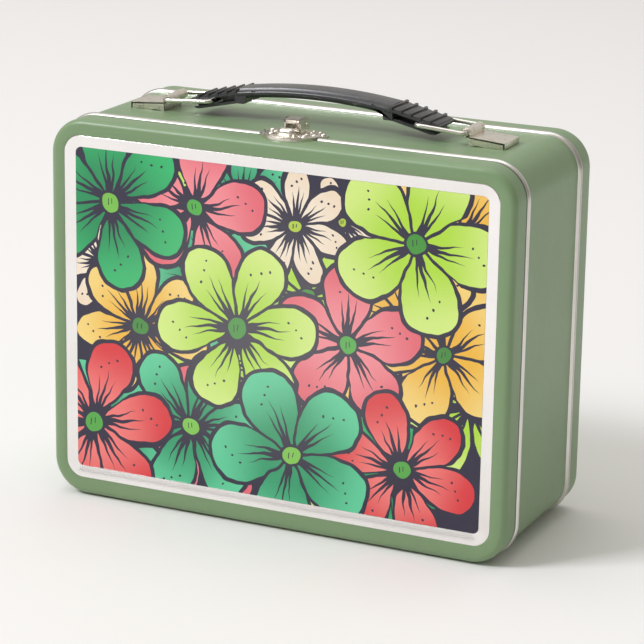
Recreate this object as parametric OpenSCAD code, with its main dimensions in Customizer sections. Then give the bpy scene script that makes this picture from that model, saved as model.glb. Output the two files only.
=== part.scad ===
// Metal lunch box: a standing tin case with a hinged front lid, a snap latch,
// and a moulded handle that slides up on two wire loops.
// Frame: +X to the right, +Y to the rear, +Z up; origin under the middle of the case.

/* [Case] */
// Width over the painted covers
cover_w = 218; // [200:1:240]
// Height over the painted covers
cover_h = 171.4; // [155:0.2:190]
// Depth from the front face to the rear face
case_d = 89; // [80:1:110]
// Radius of the four corners seen from the front
corner_r = 16; // [14:0.5:20]
// Radius of the fold between a cover's face and its wall
fold_r = 3; // [2:0.5:4]
// Thickness of the cover sheet
cover_t = 0.8; // [0.6:0.1:1]
// How far the band lies inside the covers' outer surface
band_inset = 0.6; // [0.4:0.1:0.7]

/* [Rim beads] */
// Radius of the half-round rim bead
bead_r = 1.7; // [1.5:0.1:2]
// How far the bead stands out past the covers
bead_proud = 0.8; // [0.6:0.1:1]
// Distance of each bead's middle from its cover's face
bead_from_face = 13.9; // [12:0.1:18]
// Depth of the narrow flat that the beads stand on
stand_flat = 0.1; // [0.05:0.05:0.2]

/* [Front panel] */
// Width of the window in the front cover
window_w = 204; // [190:1:206]
// Height of the window in the front cover
window_h = 156.4; // [145:0.2:158]
// Corner radius of the window
window_r = 8; // [7:0.5:9]
// How far the window's middle lies above the cover's middle
window_up = 0.55; // [0:0.05:0.8]
// Width of the sloping metal border
bezel_w = 5.3; // [4:0.1:6]
// Depth of the border's slope
bezel_drop = 0.9; // [0.6:0.1:1.4]
// Thickness of the printed plate
art_t = 0.3; // [0.2:0.1:0.5]

/* [Rear panel] */
// Distance of the pressed rear panel from the cover's edge
rear_margin = 14; // [12:1:20]
// Depth of the pressed rear panel
rear_drop = 0.8; // [0.5:0.1:1.2]

/* [Lid hinge] */
// Distance of each hinge's middle from the case's middle
hinge_x = 58; // [45:1:70]
// Length of one hinge
hinge_len = 30; // [24:1:36]
// Radius of the hinge pin
hinge_pin_r = 0.5; // [0.4:0.05:0.6]
// Outer radius of the rolled knuckles
knuckle_r = 0.95; // [0.9:0.01:0.98]
// Thickness of the hinge leaves
leaf_t = 0.5; // [0.4:0.05:0.5]

/* [Handle] */
// Length of the handle over its end plates
grip_len = 119; // [117:0.5:121]
// Height of the handle's crown above the covers' top
grip_crown = 16.5; // [15:0.5:18]
// Width of the arched grip
grip_w = 17; // [15:0.5:18]
// Width of the ribbed end plates
plate_w = 17.2; // [16:0.2:17.4]
// Downward slope of the end plates in degrees
plate_slope = 12.7; // [11:0.1:14]
// Ribs on each end plate
rib_count = 5; // [3:1:5]

/* [Wire loops and brackets] */
// Radius of the loop wire
wire_r = 1; // [0.8:0.05:1.05]
// Distance of each loop's pivot from the case's middle
pivot_x = 71.2; // [70.5:0.1:72]
// Distance of each bracket's outer end from the case's middle
bracket_end = 89; // [87:0.5:91]
// Width of a bracket
bracket_w = 16.4; // [15:0.2:16.6]

/* [Latch] */
// Width of the latch strap
strap_w = 7.8; // [7:0.1:9]
// Radius of the strap's round rear end about its pin
strap_r = 3.4; // [3:0.1:3.5]
// Half length of the latch's base plate between its lobes
base_half = 9; // [8:0.5:10]

/* [Hidden] */
$fn = 96;

PAINT = "#7c9670";
SILVER = "#cfccc4";
NICKEL = "#b9b1a6";
BLACK = "#2b2c2e";
PRINT = "#e0716f";

// Heights and depths that follow from the driving sizes
mid_z = cover_h / 2 + bead_proud - stand_flat;
face = case_d / 2;                          // distance of either face from the middle
bead_mid = face - bead_from_face;           // distance of either bead from the middle
cover_top = mid_z + cover_h / 2;
cover_base = mid_z - cover_h / 2;
band_top = cover_top - band_inset;
band_base = cover_base + band_inset;
fit_gap = 0.3;                              // clearance between lid and case edges
side_gap = 0.4;                             // clearance between the lid's wall and the neck
band_in = 1.6;                              // inner surface of the band, measured from the covers
neck_out = cover_t + side_gap;
neck_in = neck_out + 0.8;
neck_len = 7;                               // how far the neck reaches into the lid
tail_len = 8;                               // how far the band reaches into the rear cover
lap = 0.5;                                  // overlap that joins swept and flat sheet

// Lid hinge: the pin runs along X just under the lid's rear edge
hinge_y = -(bead_mid - bead_r);
hinge_z = knuckle_r + 0.05;
leaf_len = 11;
knuckle_gap = 0.2;
pin_gap = 0.05;

// Handle and loops
crown_z = cover_top + grip_crown;
arch_r = 282;
arch_t = 4.9;
plate_x = 36;                               // where the end plates start
plate_z = crown_z - 4.6;                    // top of an end plate at its start
plate_len = (grip_len / 2 - plate_x) / cos(plate_slope) + 0.1;
plate_t = 1.3;
slot_h = 2.7;
plate_drop = plate_t + slot_h;              // from a plate's top to the top of its sole
sole_t = 1.2;
sole_w = 15;
rib_h = 0.7;
rib_w = 1.2;
rib_pitch = 4.6;
rib_start = 0.4;
rib_over = 0.2;                             // how far a rib overhangs the plate's sides
root_in = 8.5;                              // how far the solid root reaches in under the arch
root_hollow_r = 6.4;
inner_web = [11.2, 6];                      // length and width of the web next to the root
outer_web_x = 20.1;
outer_web = [3, 8];
slot_mid = plate_t + slot_h / 2;
pivot_z = cover_top + 4.8;
loop_bar_x = 48.4;
loop_bar_z = plate_z - (loop_bar_x - plate_x) * tan(plate_slope) - slot_mid / cos(plate_slope);
loop_len = norm([pivot_x - loop_bar_x, loop_bar_z - pivot_z]);
loop_tilt = atan2(loop_bar_z - pivot_z, pivot_x - loop_bar_x);
loop_half = 10.2;                           // the loop's legs run this far either side of the middle
barrel_r = 2.2;
barrel_half = 7.8;
bracket_t = 0.8;
bracket_start = pivot_x + 1.2;
bracket_high = cover_top + 3.5;             // top of the wedge at its inner end
bracket_low = cover_top + 2.2;              // top of the wedge at its outer end
prong_x = 77;
prong_w = 6;
prong_gap = 0.2;
tab_w = 4.5;                                // width of a prong's bent-over tab

// Latch
strap_front = -28;
strap_t = 0.7;
latch_pin_y = -22;
latch_pin_z = cover_top + 3.7;
latch_pin_r = 0.6;
strap_top = latch_pin_z + strap_r;
strap_low = band_top + 1.5;
base_t = 0.8;
base_w = 11;
base_y = -22.2;
lobe_r = 2.4;
lobe_y = 3.1;                               // from the plate's middle to its outer lobes
lobe_x = 2.6;                               // how far the end lobe lies beyond the others
boss_r = 1.5;
boss_sink = 0.6;
ear_half = 2.4;
ear_r = 1.3;
rivet_r = 0.9;
catch_y = -33.5;
lip_front = -41.3;
lip_rear = hinge_y - 0.2;
lip_r = 13.2;
dish_r = 19.7;                              // radius of the ball that hollows the lip
dish_y = lip_front + 4.6;
dish_deep = 0.4;
catch_zone = lip_r + 0.4;                   // half width of the gap in the bead under the catch
lip_t = 1;
base_rivet_x = 6.2;
catch_rivet_x = 7.6;
catch_rivet_y = catch_y + 1;
catch_barrel_r = 2.1;
catch_barrel_half = 4;
catch_barrel_z = cover_top + 2.2;
tongue_w = 5.2;
tongue_t = 0.7;
tongue_len = 6.1;

// ---- shared shapes ----

// Rounded rectangle in the plane
module rounded(w, h, r) {
    square([w - 2 * r, h], center = true);
    square([w, h - 2 * r], center = true);
    for (sx = [-1, 1], sy = [-1, 1])
        translate([sx * (w / 2 - r), sy * (h / 2 - r)]) circle(r);
}

// Carries a profile round a rounded rectangle.
// In the profile, x = 0 is the outline and negative x lies inside it; y is the height.
module around(w, h, r) {
    for (turn = [0 : 3]) {
        across = turn % 2 == 0 ? w : h;
        along = turn % 2 == 0 ? h : w;
        rotate([0, 0, 90 * turn]) {
            translate([across / 2, along / 2 - r, 0]) rotate([90, 0, 0])
                linear_extrude(along - 2 * r) children();
            translate([across / 2 - r, along / 2 - r, 0])
                rotate_extrude(angle = 90) translate([r, 0]) children();
        }
    }
}

// Stands a shape drawn face up onto its edge, with its face to the front
module stand() translate([0, 0, mid_z]) rotate([90, 0, 0]) children();

// The same with the face to the rear
module stand_rear() translate([0, 0, mid_z]) rotate([-90, 0, 0]) children();

// Points of a round corner, counted from angle a to angle b
function bend(cx, cy, r, a, b, n = 8) =
    [for (i = [0 : n]) [cx + r * cos(a + (b - a) * i / n), cy + r * sin(a + (b - a) * i / n)]];

// Section of a cover from its wall's free edge round the fold to the flat face
module cover_section() polygon(concat(
    [[0, bead_mid]],
    bend(-fold_r, face - fold_r, fold_r, 0, 90),
    [[-fold_r - lap, face], [-fold_r - lap, face - cover_t]],
    bend(-fold_r, face - fold_r, fold_r - cover_t, 90, 0),
    [[-cover_t, bead_mid]]));

// Cylinder along X through a point of the YZ plane
module rod_x(x0, x1, y, z, r) translate([x0, y, z]) rotate([0, 90, 0]) cylinder(h = x1 - x0, r = r);

// Cylinder along Y through a point of the XZ plane
module rod_y(x, z, half, r) translate([x, half, z]) rotate([90, 0, 0]) cylinder(h = 2 * half, r = r);

// ---- case ----

module body_band() color(PAINT) difference() {
    stand() around(cover_w, cover_h, corner_r) polygon([
        [-neck_out, bead_mid - bead_r + neck_len],
        [-neck_out, bead_mid - bead_r - fit_gap],
        [-band_inset, bead_mid - bead_r - fit_gap],
        [-band_inset, -bead_mid],
        [-cover_t, -bead_mid],
        [-cover_t, -bead_mid - tail_len],
        [-band_in, -bead_mid - tail_len],
        [-band_in, bead_mid - bead_r - 1.2],
        [-neck_in, bead_mid - bead_r - 0.4],
        [-neck_in, bead_mid - bead_r + neck_len]]);
    // room for the knuckles under the front edge
    for (s = [-1, 1])
        translate([s * hinge_x - hinge_len / 2 - fit_gap, hinge_y - 2, -1])
            cube([hinge_len + 2 * fit_gap, 2 + knuckle_r + 0.25, hinge_z + knuckle_r + 0.1 + 1]);
    // slots for the bracket prongs
    for (sx = [-1, 1], sy = [-1, 1])
        translate([sx * (prong_x + prong_w / 2), sy * (bracket_w - bracket_t) / 2, band_top - 1])
            cube([prong_w + prong_gap, bracket_t + prong_gap, 6], center = true);
}

module rear_cover() color(PAINT) stand_rear() {
    around(cover_w, cover_h, corner_r) cover_section();
    inner_w = cover_w - 2 * rear_margin;
    inner_h = cover_h - 2 * rear_margin;
    slope_w = 2.5;
    panel_r = 8;
    translate([0, 0, face - cover_t]) linear_extrude(cover_t) difference() {
        rounded(cover_w - 2 * fold_r, cover_h - 2 * fold_r, corner_r - fold_r);
        rounded(inner_w, inner_h, panel_r);
    }
    around(inner_w, inner_h, panel_r) polygon([
        [lap, face - cover_t], [lap, face], [0, face],
        [-slope_w, face - rear_drop], [-slope_w - lap, face - rear_drop],
        [-slope_w - lap, face - rear_drop - cover_t], [-slope_w, face - rear_drop - cover_t],
        [0, face - cover_t]]);
    translate([0, 0, face - rear_drop - cover_t]) linear_extrude(cover_t)
        rounded(inner_w - 2 * slope_w, inner_h - 2 * slope_w, panel_r - slope_w);
}

// Ring of half-round bead round the front rim, less the sheet that it grips; it stands on a narrow flat
module bead_ring() difference() {
    stand() around(cover_w, cover_h, corner_r) difference() {
        translate([-(bead_r - bead_proud), bead_mid]) circle(bead_r, $fn = 32);
        translate([-6, bead_mid]) square([6, 6]);
        children();
    }
    translate([-cover_w, -case_d, -6]) cube([2 * cover_w, 2 * case_d, 6]);
}

// Bead clinched over the joint between the band and the rear cover
module rear_rim_bead() color(SILVER) mirror([0, 1, 0])
    bead_ring() translate([-6, bead_mid - 6]) square([6 - band_inset, 6]);

// ---- lid ----

module front_cover() color(PAINT) stand() {
    around(cover_w, cover_h, corner_r) cover_section();
    translate([0, 0, face - cover_t]) linear_extrude(cover_t) difference() {
        rounded(cover_w - 2 * fold_r, cover_h - 2 * fold_r, corner_r - fold_r);
        translate([0, window_up]) rounded(window_w, window_h, window_r);
    }
}

// Half-round hem on the lid's free edge, open where the hinges and the catch sit
module front_rim_bead() color(SILVER) difference() {
    bead_ring() translate([-6, bead_mid - 6]) square([6 - cover_t, 12]);
    for (s = [-1, 1])
        translate([s * hinge_x - hinge_len / 2 - fit_gap, -face, -1])
            cube([hinge_len + 2 * fit_gap, face, 4]);
    translate([-catch_zone, -face, cover_top - 2]) cube([2 * catch_zone, face, 6]);
}

// Bare metal tray behind the window: a sloping border, a flat floor and a flange
module front_panel_tray() color(SILVER) stand() translate([0, window_up, 0]) {
    floor_z = face - bezel_drop - art_t;
    tray_t = 0.6;
    flange = 2.5;
    around(window_w, window_h, window_r) polygon([
        [0, face - 0.1], [-0.4, face], [-bezel_w, face - bezel_drop], [-bezel_w, floor_z],
        [-bezel_w - lap, floor_z], [-bezel_w - lap, floor_z - tray_t],
        [-bezel_w, floor_z - tray_t], [-1, face - cover_t - tray_t],
        [flange, face - cover_t - tray_t], [flange, face - cover_t], [0, face - cover_t]]);
    translate([0, 0, floor_z - tray_t]) linear_extrude(tray_t)
        rounded(window_w - 2 * bezel_w, window_h - 2 * bezel_w, window_r - bezel_w);
}

module front_art_plate() color(PRINT) stand()
    translate([0, window_up, face - bezel_drop - art_t]) linear_extrude(art_t)
        rounded(window_w - 2 * bezel_w, window_h - 2 * bezel_w, window_r - bezel_w);

// ---- lid hinges ----

// Knuckle spans along X within one hinge: two outer ones on the case, the middle one on the lid
function knuckle_span(i) = let (third = hinge_len / 3)
    [-hinge_len / 2 + i * third + (i > 0 ? knuckle_gap / 2 : 0),
     -hinge_len / 2 + (i + 1) * third - (i < 2 ? knuckle_gap / 2 : 0)];

module hinge_leaf_case(side) color(NICKEL) translate([side * hinge_x, 0, 0]) difference() {
    union() {
        for (i = [0, 2]) let (s = knuckle_span(i)) {
            rod_x(s[0], s[1], hinge_y, hinge_z, knuckle_r);
            translate([s[0], hinge_y + hinge_pin_r, band_base - leaf_t]) cube([s[1] - s[0], 2, leaf_t]);
        }
        translate([-hinge_len / 2, hinge_y + knuckle_r + fit_gap, band_base - leaf_t])
            cube([hinge_len, leaf_len, leaf_t]);
    }
    rod_x(-hinge_len, hinge_len, hinge_y, hinge_z, hinge_pin_r);
}

module hinge_leaf_lid(side) color(NICKEL) translate([side * hinge_x, 0, 0]) difference() {
    s = knuckle_span(1);
    union() {
        rod_x(s[0], s[1], hinge_y, hinge_z, knuckle_r);
        translate([s[0], hinge_y - 3, cover_base - leaf_t]) cube([s[1] - s[0], 3 - hinge_pin_r, leaf_t]);
        translate([-hinge_len / 2, hinge_y - knuckle_r - fit_gap - leaf_len, cover_base - leaf_t])
            cube([hinge_len, leaf_len, leaf_t]);
    }
    rod_x(-hinge_len, hinge_len, hinge_y, hinge_z, hinge_pin_r + pin_gap);
}

module hinge_pin(side) color(NICKEL)
    rod_x(side * hinge_x - hinge_len / 2, side * hinge_x + hinge_len / 2, hinge_y, hinge_z, hinge_pin_r);

// ---- handle ----

// Lens-shaped section of the grip: x is the distance from the arch's centre, y the width
module grip_section() {
    rise = 2.5;
    belly = 1.6;
    hw = grip_w / 2;
    top_r = (hw * hw + rise * rise) / (2 * rise);
    low_r = (hw * hw + belly * belly) / (2 * belly);
    top_a = asin(hw / top_r);
    low_a = asin(hw / low_r);
    polygon(concat(
        bend(arch_r - top_r, 0, top_r, -top_a, top_a, 16),
        bend(arch_r - arch_t + low_r, 0, low_r, 180 - low_a, 180 + low_a, 12)));
}

// One end of the handle, drawn for the right side
module handle_end() {
    foot_z = plate_z - plate_t - slot_h - sole_t;
    // solid root where the arch meets the plates, with a curved web under the arch
    difference() {
        translate([plate_x - root_in, -grip_w / 2 + 0.5, foot_z - 0.3])
            cube([root_in + 1.5, grip_w - 1, plate_z - foot_z + 0.9]);
        rod_y(plate_x - root_in, foot_z - 0.3, grip_w, root_hollow_r);
    }
    translate([plate_x, 0, plate_z]) rotate([0, plate_slope, 0]) {
        translate([0, -plate_w / 2, -plate_t]) cube([plate_len, plate_w, plate_t]);
        for (i = [0 : rib_count - 1])
            translate([rib_start + i * rib_pitch, -plate_w / 2 - rib_over, -0.3])
                cube([rib_w, plate_w + 2 * rib_over, rib_h + 0.3]);
        translate([0, -sole_w / 2, -plate_drop - sole_t]) cube([plate_len - 1, sole_w, sole_t]);
        // web either side of the slot that the loop's bar slides in
        translate([0, -inner_web[1] / 2, -plate_drop - 0.2]) cube([inner_web[0], inner_web[1], slot_h + 0.4]);
        translate([outer_web_x, -outer_web[1] / 2, -plate_drop - 0.2])
            cube([outer_web[0], outer_web[1], slot_h + 0.4]);
    }
}

module handle_grip() color(BLACK) {
    half = asin((plate_x + 0.6) / (arch_r - arch_t));
    translate([0, 0, crown_z - arch_r]) rotate([90, 0, 0]) rotate([0, 0, 90 - half])
        rotate_extrude(angle = 2 * half, $fn = 360) grip_section();
    handle_end();
    mirror([1, 0, 0]) handle_end();
}

// Closed wire loop drawn for the right side, from the pivot towards the middle
module wire_loop() {
    tight = 1.4;
    wide = 2.4;
    translate([pivot_x, 0, pivot_z]) rotate([0, loop_tilt, 0]) mirror([1, 0, 0]) {
        rod_y(0, 0, loop_half - tight, wire_r);
        rod_y(loop_len, 0, loop_half - wide, wire_r);
        for (s = [-1, 1]) {
            rod_x(tight, loop_len - wide, s * loop_half, 0, wire_r);
            translate([tight, s * (loop_half - tight), 0]) rotate([0, 0, s > 0 ? 90 : 180])
                rotate_extrude(angle = 90) translate([tight, 0]) circle(wire_r);
            translate([loop_len - wide, s * (loop_half - wide), 0]) rotate([0, 0, s > 0 ? 0 : -90])
                rotate_extrude(angle = 90) translate([wide, 0]) circle(wire_r);
        }
    }
}

// Pressed bracket drawn for the right side: a hollow wedge with a rolled barrel and two clinched prongs
module bracket() {
    ceiling = bracket_high - bracket_t - 0.2;
    difference() {
        union() {
            rotate([90, 0, 0]) linear_extrude(bracket_w, center = true) polygon([
                [bracket_start, band_top], [bracket_start, bracket_high],
                [bracket_end, bracket_low], [bracket_end, band_top]]);
            rod_y(pivot_x, pivot_z, barrel_half, barrel_r);
            translate([pivot_x, -barrel_half, ceiling]) cube([3, 2 * barrel_half, bracket_t]);
        }
        rotate([90, 0, 0]) linear_extrude(bracket_w - 2 * bracket_t, center = true) polygon([
            [bracket_start + bracket_t, band_top - 1], [bracket_start + bracket_t, ceiling],
            [bracket_end - bracket_t, bracket_low - bracket_t + 0.1],
            [bracket_end - bracket_t, band_top - 1]]);
        rod_y(pivot_x, pivot_z, bracket_w, wire_r + pin_gap);
    }
    tab_z = band_top - band_in + band_inset - bracket_t / 2;
    for (s = [-1, 1]) {
        translate([prong_x + prong_w / 2, s * (bracket_w - bracket_t) / 2, band_top - 0.7])
            cube([prong_w, bracket_t, 1.8], center = true);
        translate([prong_x + prong_w / 2, s * (bracket_w - tab_w) / 2, tab_z])
            cube([prong_w, tab_w, bracket_t], center = true);
    }
}

// ---- latch ----

// Middles of the three lobes at each end of the base plate
function lobes() = [for (s = [-1, 1], k = [-1 : 1])
    [s * (base_half + (k == 0 ? lobe_x : 0)), lobe_y * k]];

// Scalloped outline of the base plate with its lobes
module base_outline() {
    square([2 * base_half, base_w], center = true);
    for (p = lobes()) translate(p) circle(lobe_r, $fn = 48);
}

module latch_base() color(NICKEL) difference() {
    union() {
        translate([0, base_y, band_top]) linear_extrude(base_t) base_outline();
        // rounded bosses on the lobes
        for (p = lobes())
            translate([p[0], base_y + p[1], band_top + base_t - boss_sink]) sphere(boss_r, $fn = 48);
        // ear that carries the pin
        translate([-ear_half, latch_pin_y - ear_r, band_top])
            cube([2 * ear_half, 2 * ear_r, latch_pin_z - band_top]);
        rod_x(-ear_half, ear_half, latch_pin_y, latch_pin_z, ear_r);
    }
    rod_x(-strap_w, strap_w, latch_pin_y, latch_pin_z, latch_pin_r);
    for (s = [-1, 1]) translate([s * base_rivet_x, base_y, band_top - 1]) cylinder(h = 4, r = rivet_r);
    // the bosses end at the band's surface
    translate([-2 * base_half, base_y - base_w, band_top - 5]) cube([4 * base_half, 2 * base_w, 5]);
}

// Rivet with a low domed head; z is the underside of the head
module rivet(x, y, z, head_r, length) translate([x, y, z]) {
    intersection() {
        cylinder(h = 2, r = head_r);
        translate([0, 0, -0.4 * head_r]) sphere(head_r, $fn = 48);
    }
    translate([0, 0, -length]) cylinder(h = length, r = rivet_r);
}

module latch_base_rivets() color(NICKEL)
    for (s = [-1, 1]) rivet(s * base_rivet_x, base_y, band_top + base_t, 1.6, base_t);

// Bent strap: two cheeks with round rear ends, a top, a short front flange and a low front bar
module latch_strap() color(NICKEL) difference() {
    hw = strap_w / 2;
    union() {
        for (s = [-1, 1]) translate([s > 0 ? hw - strap_t : -hw, 0, 0]) {
            rotate([90, 0, 90]) linear_extrude(strap_t) polygon([
                [strap_front, strap_low + 1], [strap_front, strap_top], [latch_pin_y, strap_top],
                [latch_pin_y, strap_low], [strap_front + 1.2, strap_low]]);
            rod_x(0, strap_t, latch_pin_y, latch_pin_z, strap_r);
        }
        translate([-hw, strap_front, strap_top - strap_t])
            cube([strap_w, latch_pin_y - strap_front, strap_t]);
        translate([-hw, strap_front, strap_top - 2.1]) cube([strap_w, strap_t, 2.1]);
        translate([-hw, strap_front, strap_low + 1.1]) cube([strap_w, strap_t, 1]);
    }
    rod_x(-strap_w, strap_w, latch_pin_y, latch_pin_z, latch_pin_r + pin_gap);
}

module latch_pin() color(NICKEL)
    rod_x(-strap_w / 2 - 0.5, strap_w / 2 + 0.5, latch_pin_y, latch_pin_z, latch_pin_r);

// Boat-shaped catch on the lid: a shallow dished lip, a rolled barrel and a tongue under the strap's bar
module latch_catch() color(NICKEL) difference() {
    union() {
        // lip with a shallow dish pressed into its front
        difference() {
            translate([0, 0, cover_top]) linear_extrude(lip_t) intersection() {
                translate([0, lip_front + lip_r]) circle(lip_r);
                translate([-lip_r, lip_front]) square([2 * lip_r, lip_rear - lip_front]);
            }
            translate([0, dish_y, cover_top + lip_t - dish_deep + dish_r]) sphere(dish_r);
        }
        // foot that takes the place of the bead under the catch
        translate([-catch_zone + 0.2, -bead_mid, cover_top - cover_t])
            cube([2 * catch_zone - 0.4, bead_r - 0.2, cover_t + 0.4]);
        rod_x(-catch_barrel_half, catch_barrel_half, catch_y, catch_barrel_z, catch_barrel_r);
        for (s = [-1, 1])
            translate([s * catch_barrel_half, catch_y, catch_barrel_z]) sphere(catch_barrel_r, $fn = 48);
        translate([-catch_barrel_half, catch_y - 1.2, cover_top]) cube([2 * catch_barrel_half, 2.4, 2.2]);
        translate([-tongue_w / 2, catch_y, cover_top + lip_t - 0.3]) cube([tongue_w, tongue_len, tongue_t]);
    }
    // nothing reaches below the cover's sheet
    translate([-lip_r * 2, -face, cover_top - 10 - cover_t]) cube([4 * lip_r, face, 10]);
    for (s = [-1, 1])
        translate([s * catch_rivet_x, catch_rivet_y, cover_top - 1]) cylinder(h = 6, r = rivet_r);
}

module latch_catch_rivets() color(NICKEL)
    for (s = [-1, 1]) rivet(s * catch_rivet_x, catch_rivet_y, cover_top + lip_t, 1.5, lip_t);

// ---- what is drawn ----

body_band();
rear_cover();
rear_rim_bead();
front_cover();
front_rim_bead();
front_panel_tray();
front_art_plate();
hinge_leaf_case(-1);  // hinge_leaf_case_left
hinge_leaf_case(1);  // hinge_leaf_case_right
hinge_leaf_lid(-1);  // hinge_leaf_lid_left
hinge_leaf_lid(1);  // hinge_leaf_lid_right
hinge_pin(-1);  // hinge_pin_left
hinge_pin(1);  // hinge_pin_right
handle_grip();
color(SILVER) mirror([1, 0, 0]) wire_loop();  // handle_wire_left
color(SILVER) wire_loop();  // handle_wire_right
color(NICKEL) mirror([1, 0, 0]) bracket();  // handle_bracket_left
color(NICKEL) bracket();  // handle_bracket_right
latch_base();
latch_strap();
latch_pin();
latch_catch();
latch_base_rivets();
latch_catch_rivets();
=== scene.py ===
"""Looks of the metal lunch box: painted sheet, bare rims, printed panel, plated latch and moulded handle.

Everything is in metres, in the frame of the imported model: +X to the right, +Y to the rear and +Z up.
"""

from __future__ import annotations

import logging
import math
from dataclasses import dataclass, field
from enum import Enum
from operator import attrgetter
from typing import Iterable, Sequence

import bmesh
import bpy
import numpy as np
from mathutils import Matrix, Vector

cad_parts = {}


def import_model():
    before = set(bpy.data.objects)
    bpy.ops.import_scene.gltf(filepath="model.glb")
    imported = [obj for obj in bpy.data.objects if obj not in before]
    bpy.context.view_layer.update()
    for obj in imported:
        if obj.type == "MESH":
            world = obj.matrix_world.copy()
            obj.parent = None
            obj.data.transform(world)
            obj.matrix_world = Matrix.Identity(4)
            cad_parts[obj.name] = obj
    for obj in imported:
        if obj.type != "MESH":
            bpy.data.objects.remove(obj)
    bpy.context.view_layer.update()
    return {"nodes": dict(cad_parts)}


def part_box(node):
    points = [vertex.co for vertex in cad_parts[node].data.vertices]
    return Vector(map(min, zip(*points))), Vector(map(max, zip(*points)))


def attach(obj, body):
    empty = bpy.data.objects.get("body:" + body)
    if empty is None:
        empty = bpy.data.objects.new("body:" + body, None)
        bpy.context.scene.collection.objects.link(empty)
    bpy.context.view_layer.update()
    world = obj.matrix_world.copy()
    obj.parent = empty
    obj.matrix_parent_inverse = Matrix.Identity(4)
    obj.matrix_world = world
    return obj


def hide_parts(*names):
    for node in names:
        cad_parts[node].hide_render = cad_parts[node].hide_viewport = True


LOG = logging.getLogger("lunch_box")
MM = 0.001
MERGE_AT = 0.001 * MM
SLIVER = 0.0001 * MM
Array = np.ndarray
Colour = tuple[float, float, float, float]


# ---- colours ----------------------------------------------------------------------------------


def paint(code: str) -> Colour:
    """Turns a hex colour into linear light.

    Args:
        code: six hex digits, such as "8a9c7f".

    Returns:
        Red, green, blue and alpha, from 0 to 1.
    """
    parts = [int(code[i : i + 2], 16) / 255 for i in (0, 2, 4)]
    linear = [c / 12.92 if c <= 0.04045 else ((c + 0.055) / 1.055) ** 2.4 for c in parts]
    return (linear[0], linear[1], linear[2], 1.0)


# ---- meshes -----------------------------------------------------------------------------------


def lattice_faces(rows: int, cols: int, close_rows: bool = False, close_cols: bool = False) -> Array:
    """Joins the points of a grid into four-sided faces.

    Point (i, j) has the number i * cols + j, and each face joins it to the next row and column.

    Args:
        rows: number of rows.
        cols: number of columns.
        close_rows: whether the last row meets the first.
        close_cols: whether the last column meets the first.

    Returns:
        One row of four point numbers for each face.
    """
    i = np.arange(rows if close_rows else rows - 1)
    j = np.arange(cols if close_cols else cols - 1)
    a, b = np.meshgrid(i, j, indexing="ij")
    a2, b2 = (a + 1) % rows, (b + 1) % cols
    faces = np.stack([a * cols + b, a2 * cols + b, a2 * cols + b2, a * cols + b2], axis=-1)
    return faces.reshape(-1, 4)


@dataclass
class Shell:
    """Points and faces that make up one mesh, and the strip coordinates of its grid points."""

    points: list[Array] = field(default_factory=list)
    faces: list[list[int]] = field(default_factory=list)
    strips: list[Array] = field(default_factory=list)

    def add(self, points: Array, faces: Iterable[Sequence[int]], strip: Array | None = None) -> int:
        """Adds points and faces.

        Args:
            points: one row for each point.
            faces: point numbers of each face, counted from the first point added here.
            strip: distance along and across the surface at each point.

        Returns:
            The number of the first point added.
        """
        start = sum(len(p) for p in self.points)
        self.points.append(points)
        self.strips.append(np.zeros((len(points), 2)) if strip is None else strip)
        self.faces.extend([[start + int(k) for k in face] for face in faces])
        return start

    def grid(
        self,
        surface: Array,
        wrap: tuple[bool, bool] = (False, False),
        caps: tuple[bool, bool] = (False, False),
    ) -> None:
        """Adds a grid surface.

        The strip coordinates are the running lengths of the grid's middle row and column.

        Args:
            surface: points by row and column.
            wrap: whether the rows, and the columns, close on themselves.
            caps: whether the first row, and the last row, are filled with one flat face.
        """
        rows, cols = surface.shape[:2]
        faces = lattice_faces(rows, cols, *wrap).tolist()
        if caps[0]:
            faces.append(list(range(cols))[::-1])
        if caps[1]:
            faces.append([(rows - 1) * cols + j for j in range(cols)])
        along = np.linalg.norm(np.diff(surface[:, cols // 2], axis=0), axis=1)
        across = np.linalg.norm(np.diff(surface[rows // 2], axis=0), axis=1)
        u, v = np.concatenate([[0], np.cumsum(along)]), np.concatenate([[0], np.cumsum(across)])
        strip = np.stack(np.meshgrid(u, v, indexing="ij"), axis=-1).reshape(-1, 2)
        self.add(surface.reshape(-1, 3), faces, strip)

    def mirrored(self) -> "Shell":
        """Copies the shell to the other side of the case's middle plane.

        Returns:
            The mirrored shell.
        """
        flip = np.array([-1.0, 1.0, 1.0])
        return Shell([p * flip for p in self.points], [f[::-1] for f in self.faces], list(self.strips))

    def build(self, name: str, sharp_deg: float = 32.0) -> bpy.types.Object:
        """Makes the mesh, with its doubles merged and its faces turned outwards.

        Args:
            name: the piece's name.
            sharp_deg: edges sharper than this stay crisp.

        Returns:
            The new object, at the origin.
        """
        mesh = bpy.data.meshes.new(name)
        mesh.from_pydata(np.concatenate(self.points).tolist(), [], self.faces)
        strip = np.concatenate(self.strips)
        corners = np.zeros(len(mesh.loops), np.int32)
        mesh.loops.foreach_get("vertex_index", corners)
        layer = mesh.uv_layers.new(name="strip")
        layer.data.foreach_set("uv", strip[corners].astype(np.float32).ravel())
        work = bmesh.new()
        work.from_mesh(mesh)
        bmesh.ops.remove_doubles(work, verts=work.verts, dist=MERGE_AT)
        bmesh.ops.dissolve_degenerate(work, edges=work.edges, dist=SLIVER)
        bmesh.ops.recalc_face_normals(work, faces=work.faces)
        work.to_mesh(mesh)
        work.free()
        mesh.shade_smooth()
        mesh.set_sharp_from_angle(angle=math.radians(sharp_deg))
        piece = bpy.data.objects.new(name, mesh)
        bpy.context.scene.collection.objects.link(piece)
        return piece


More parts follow.
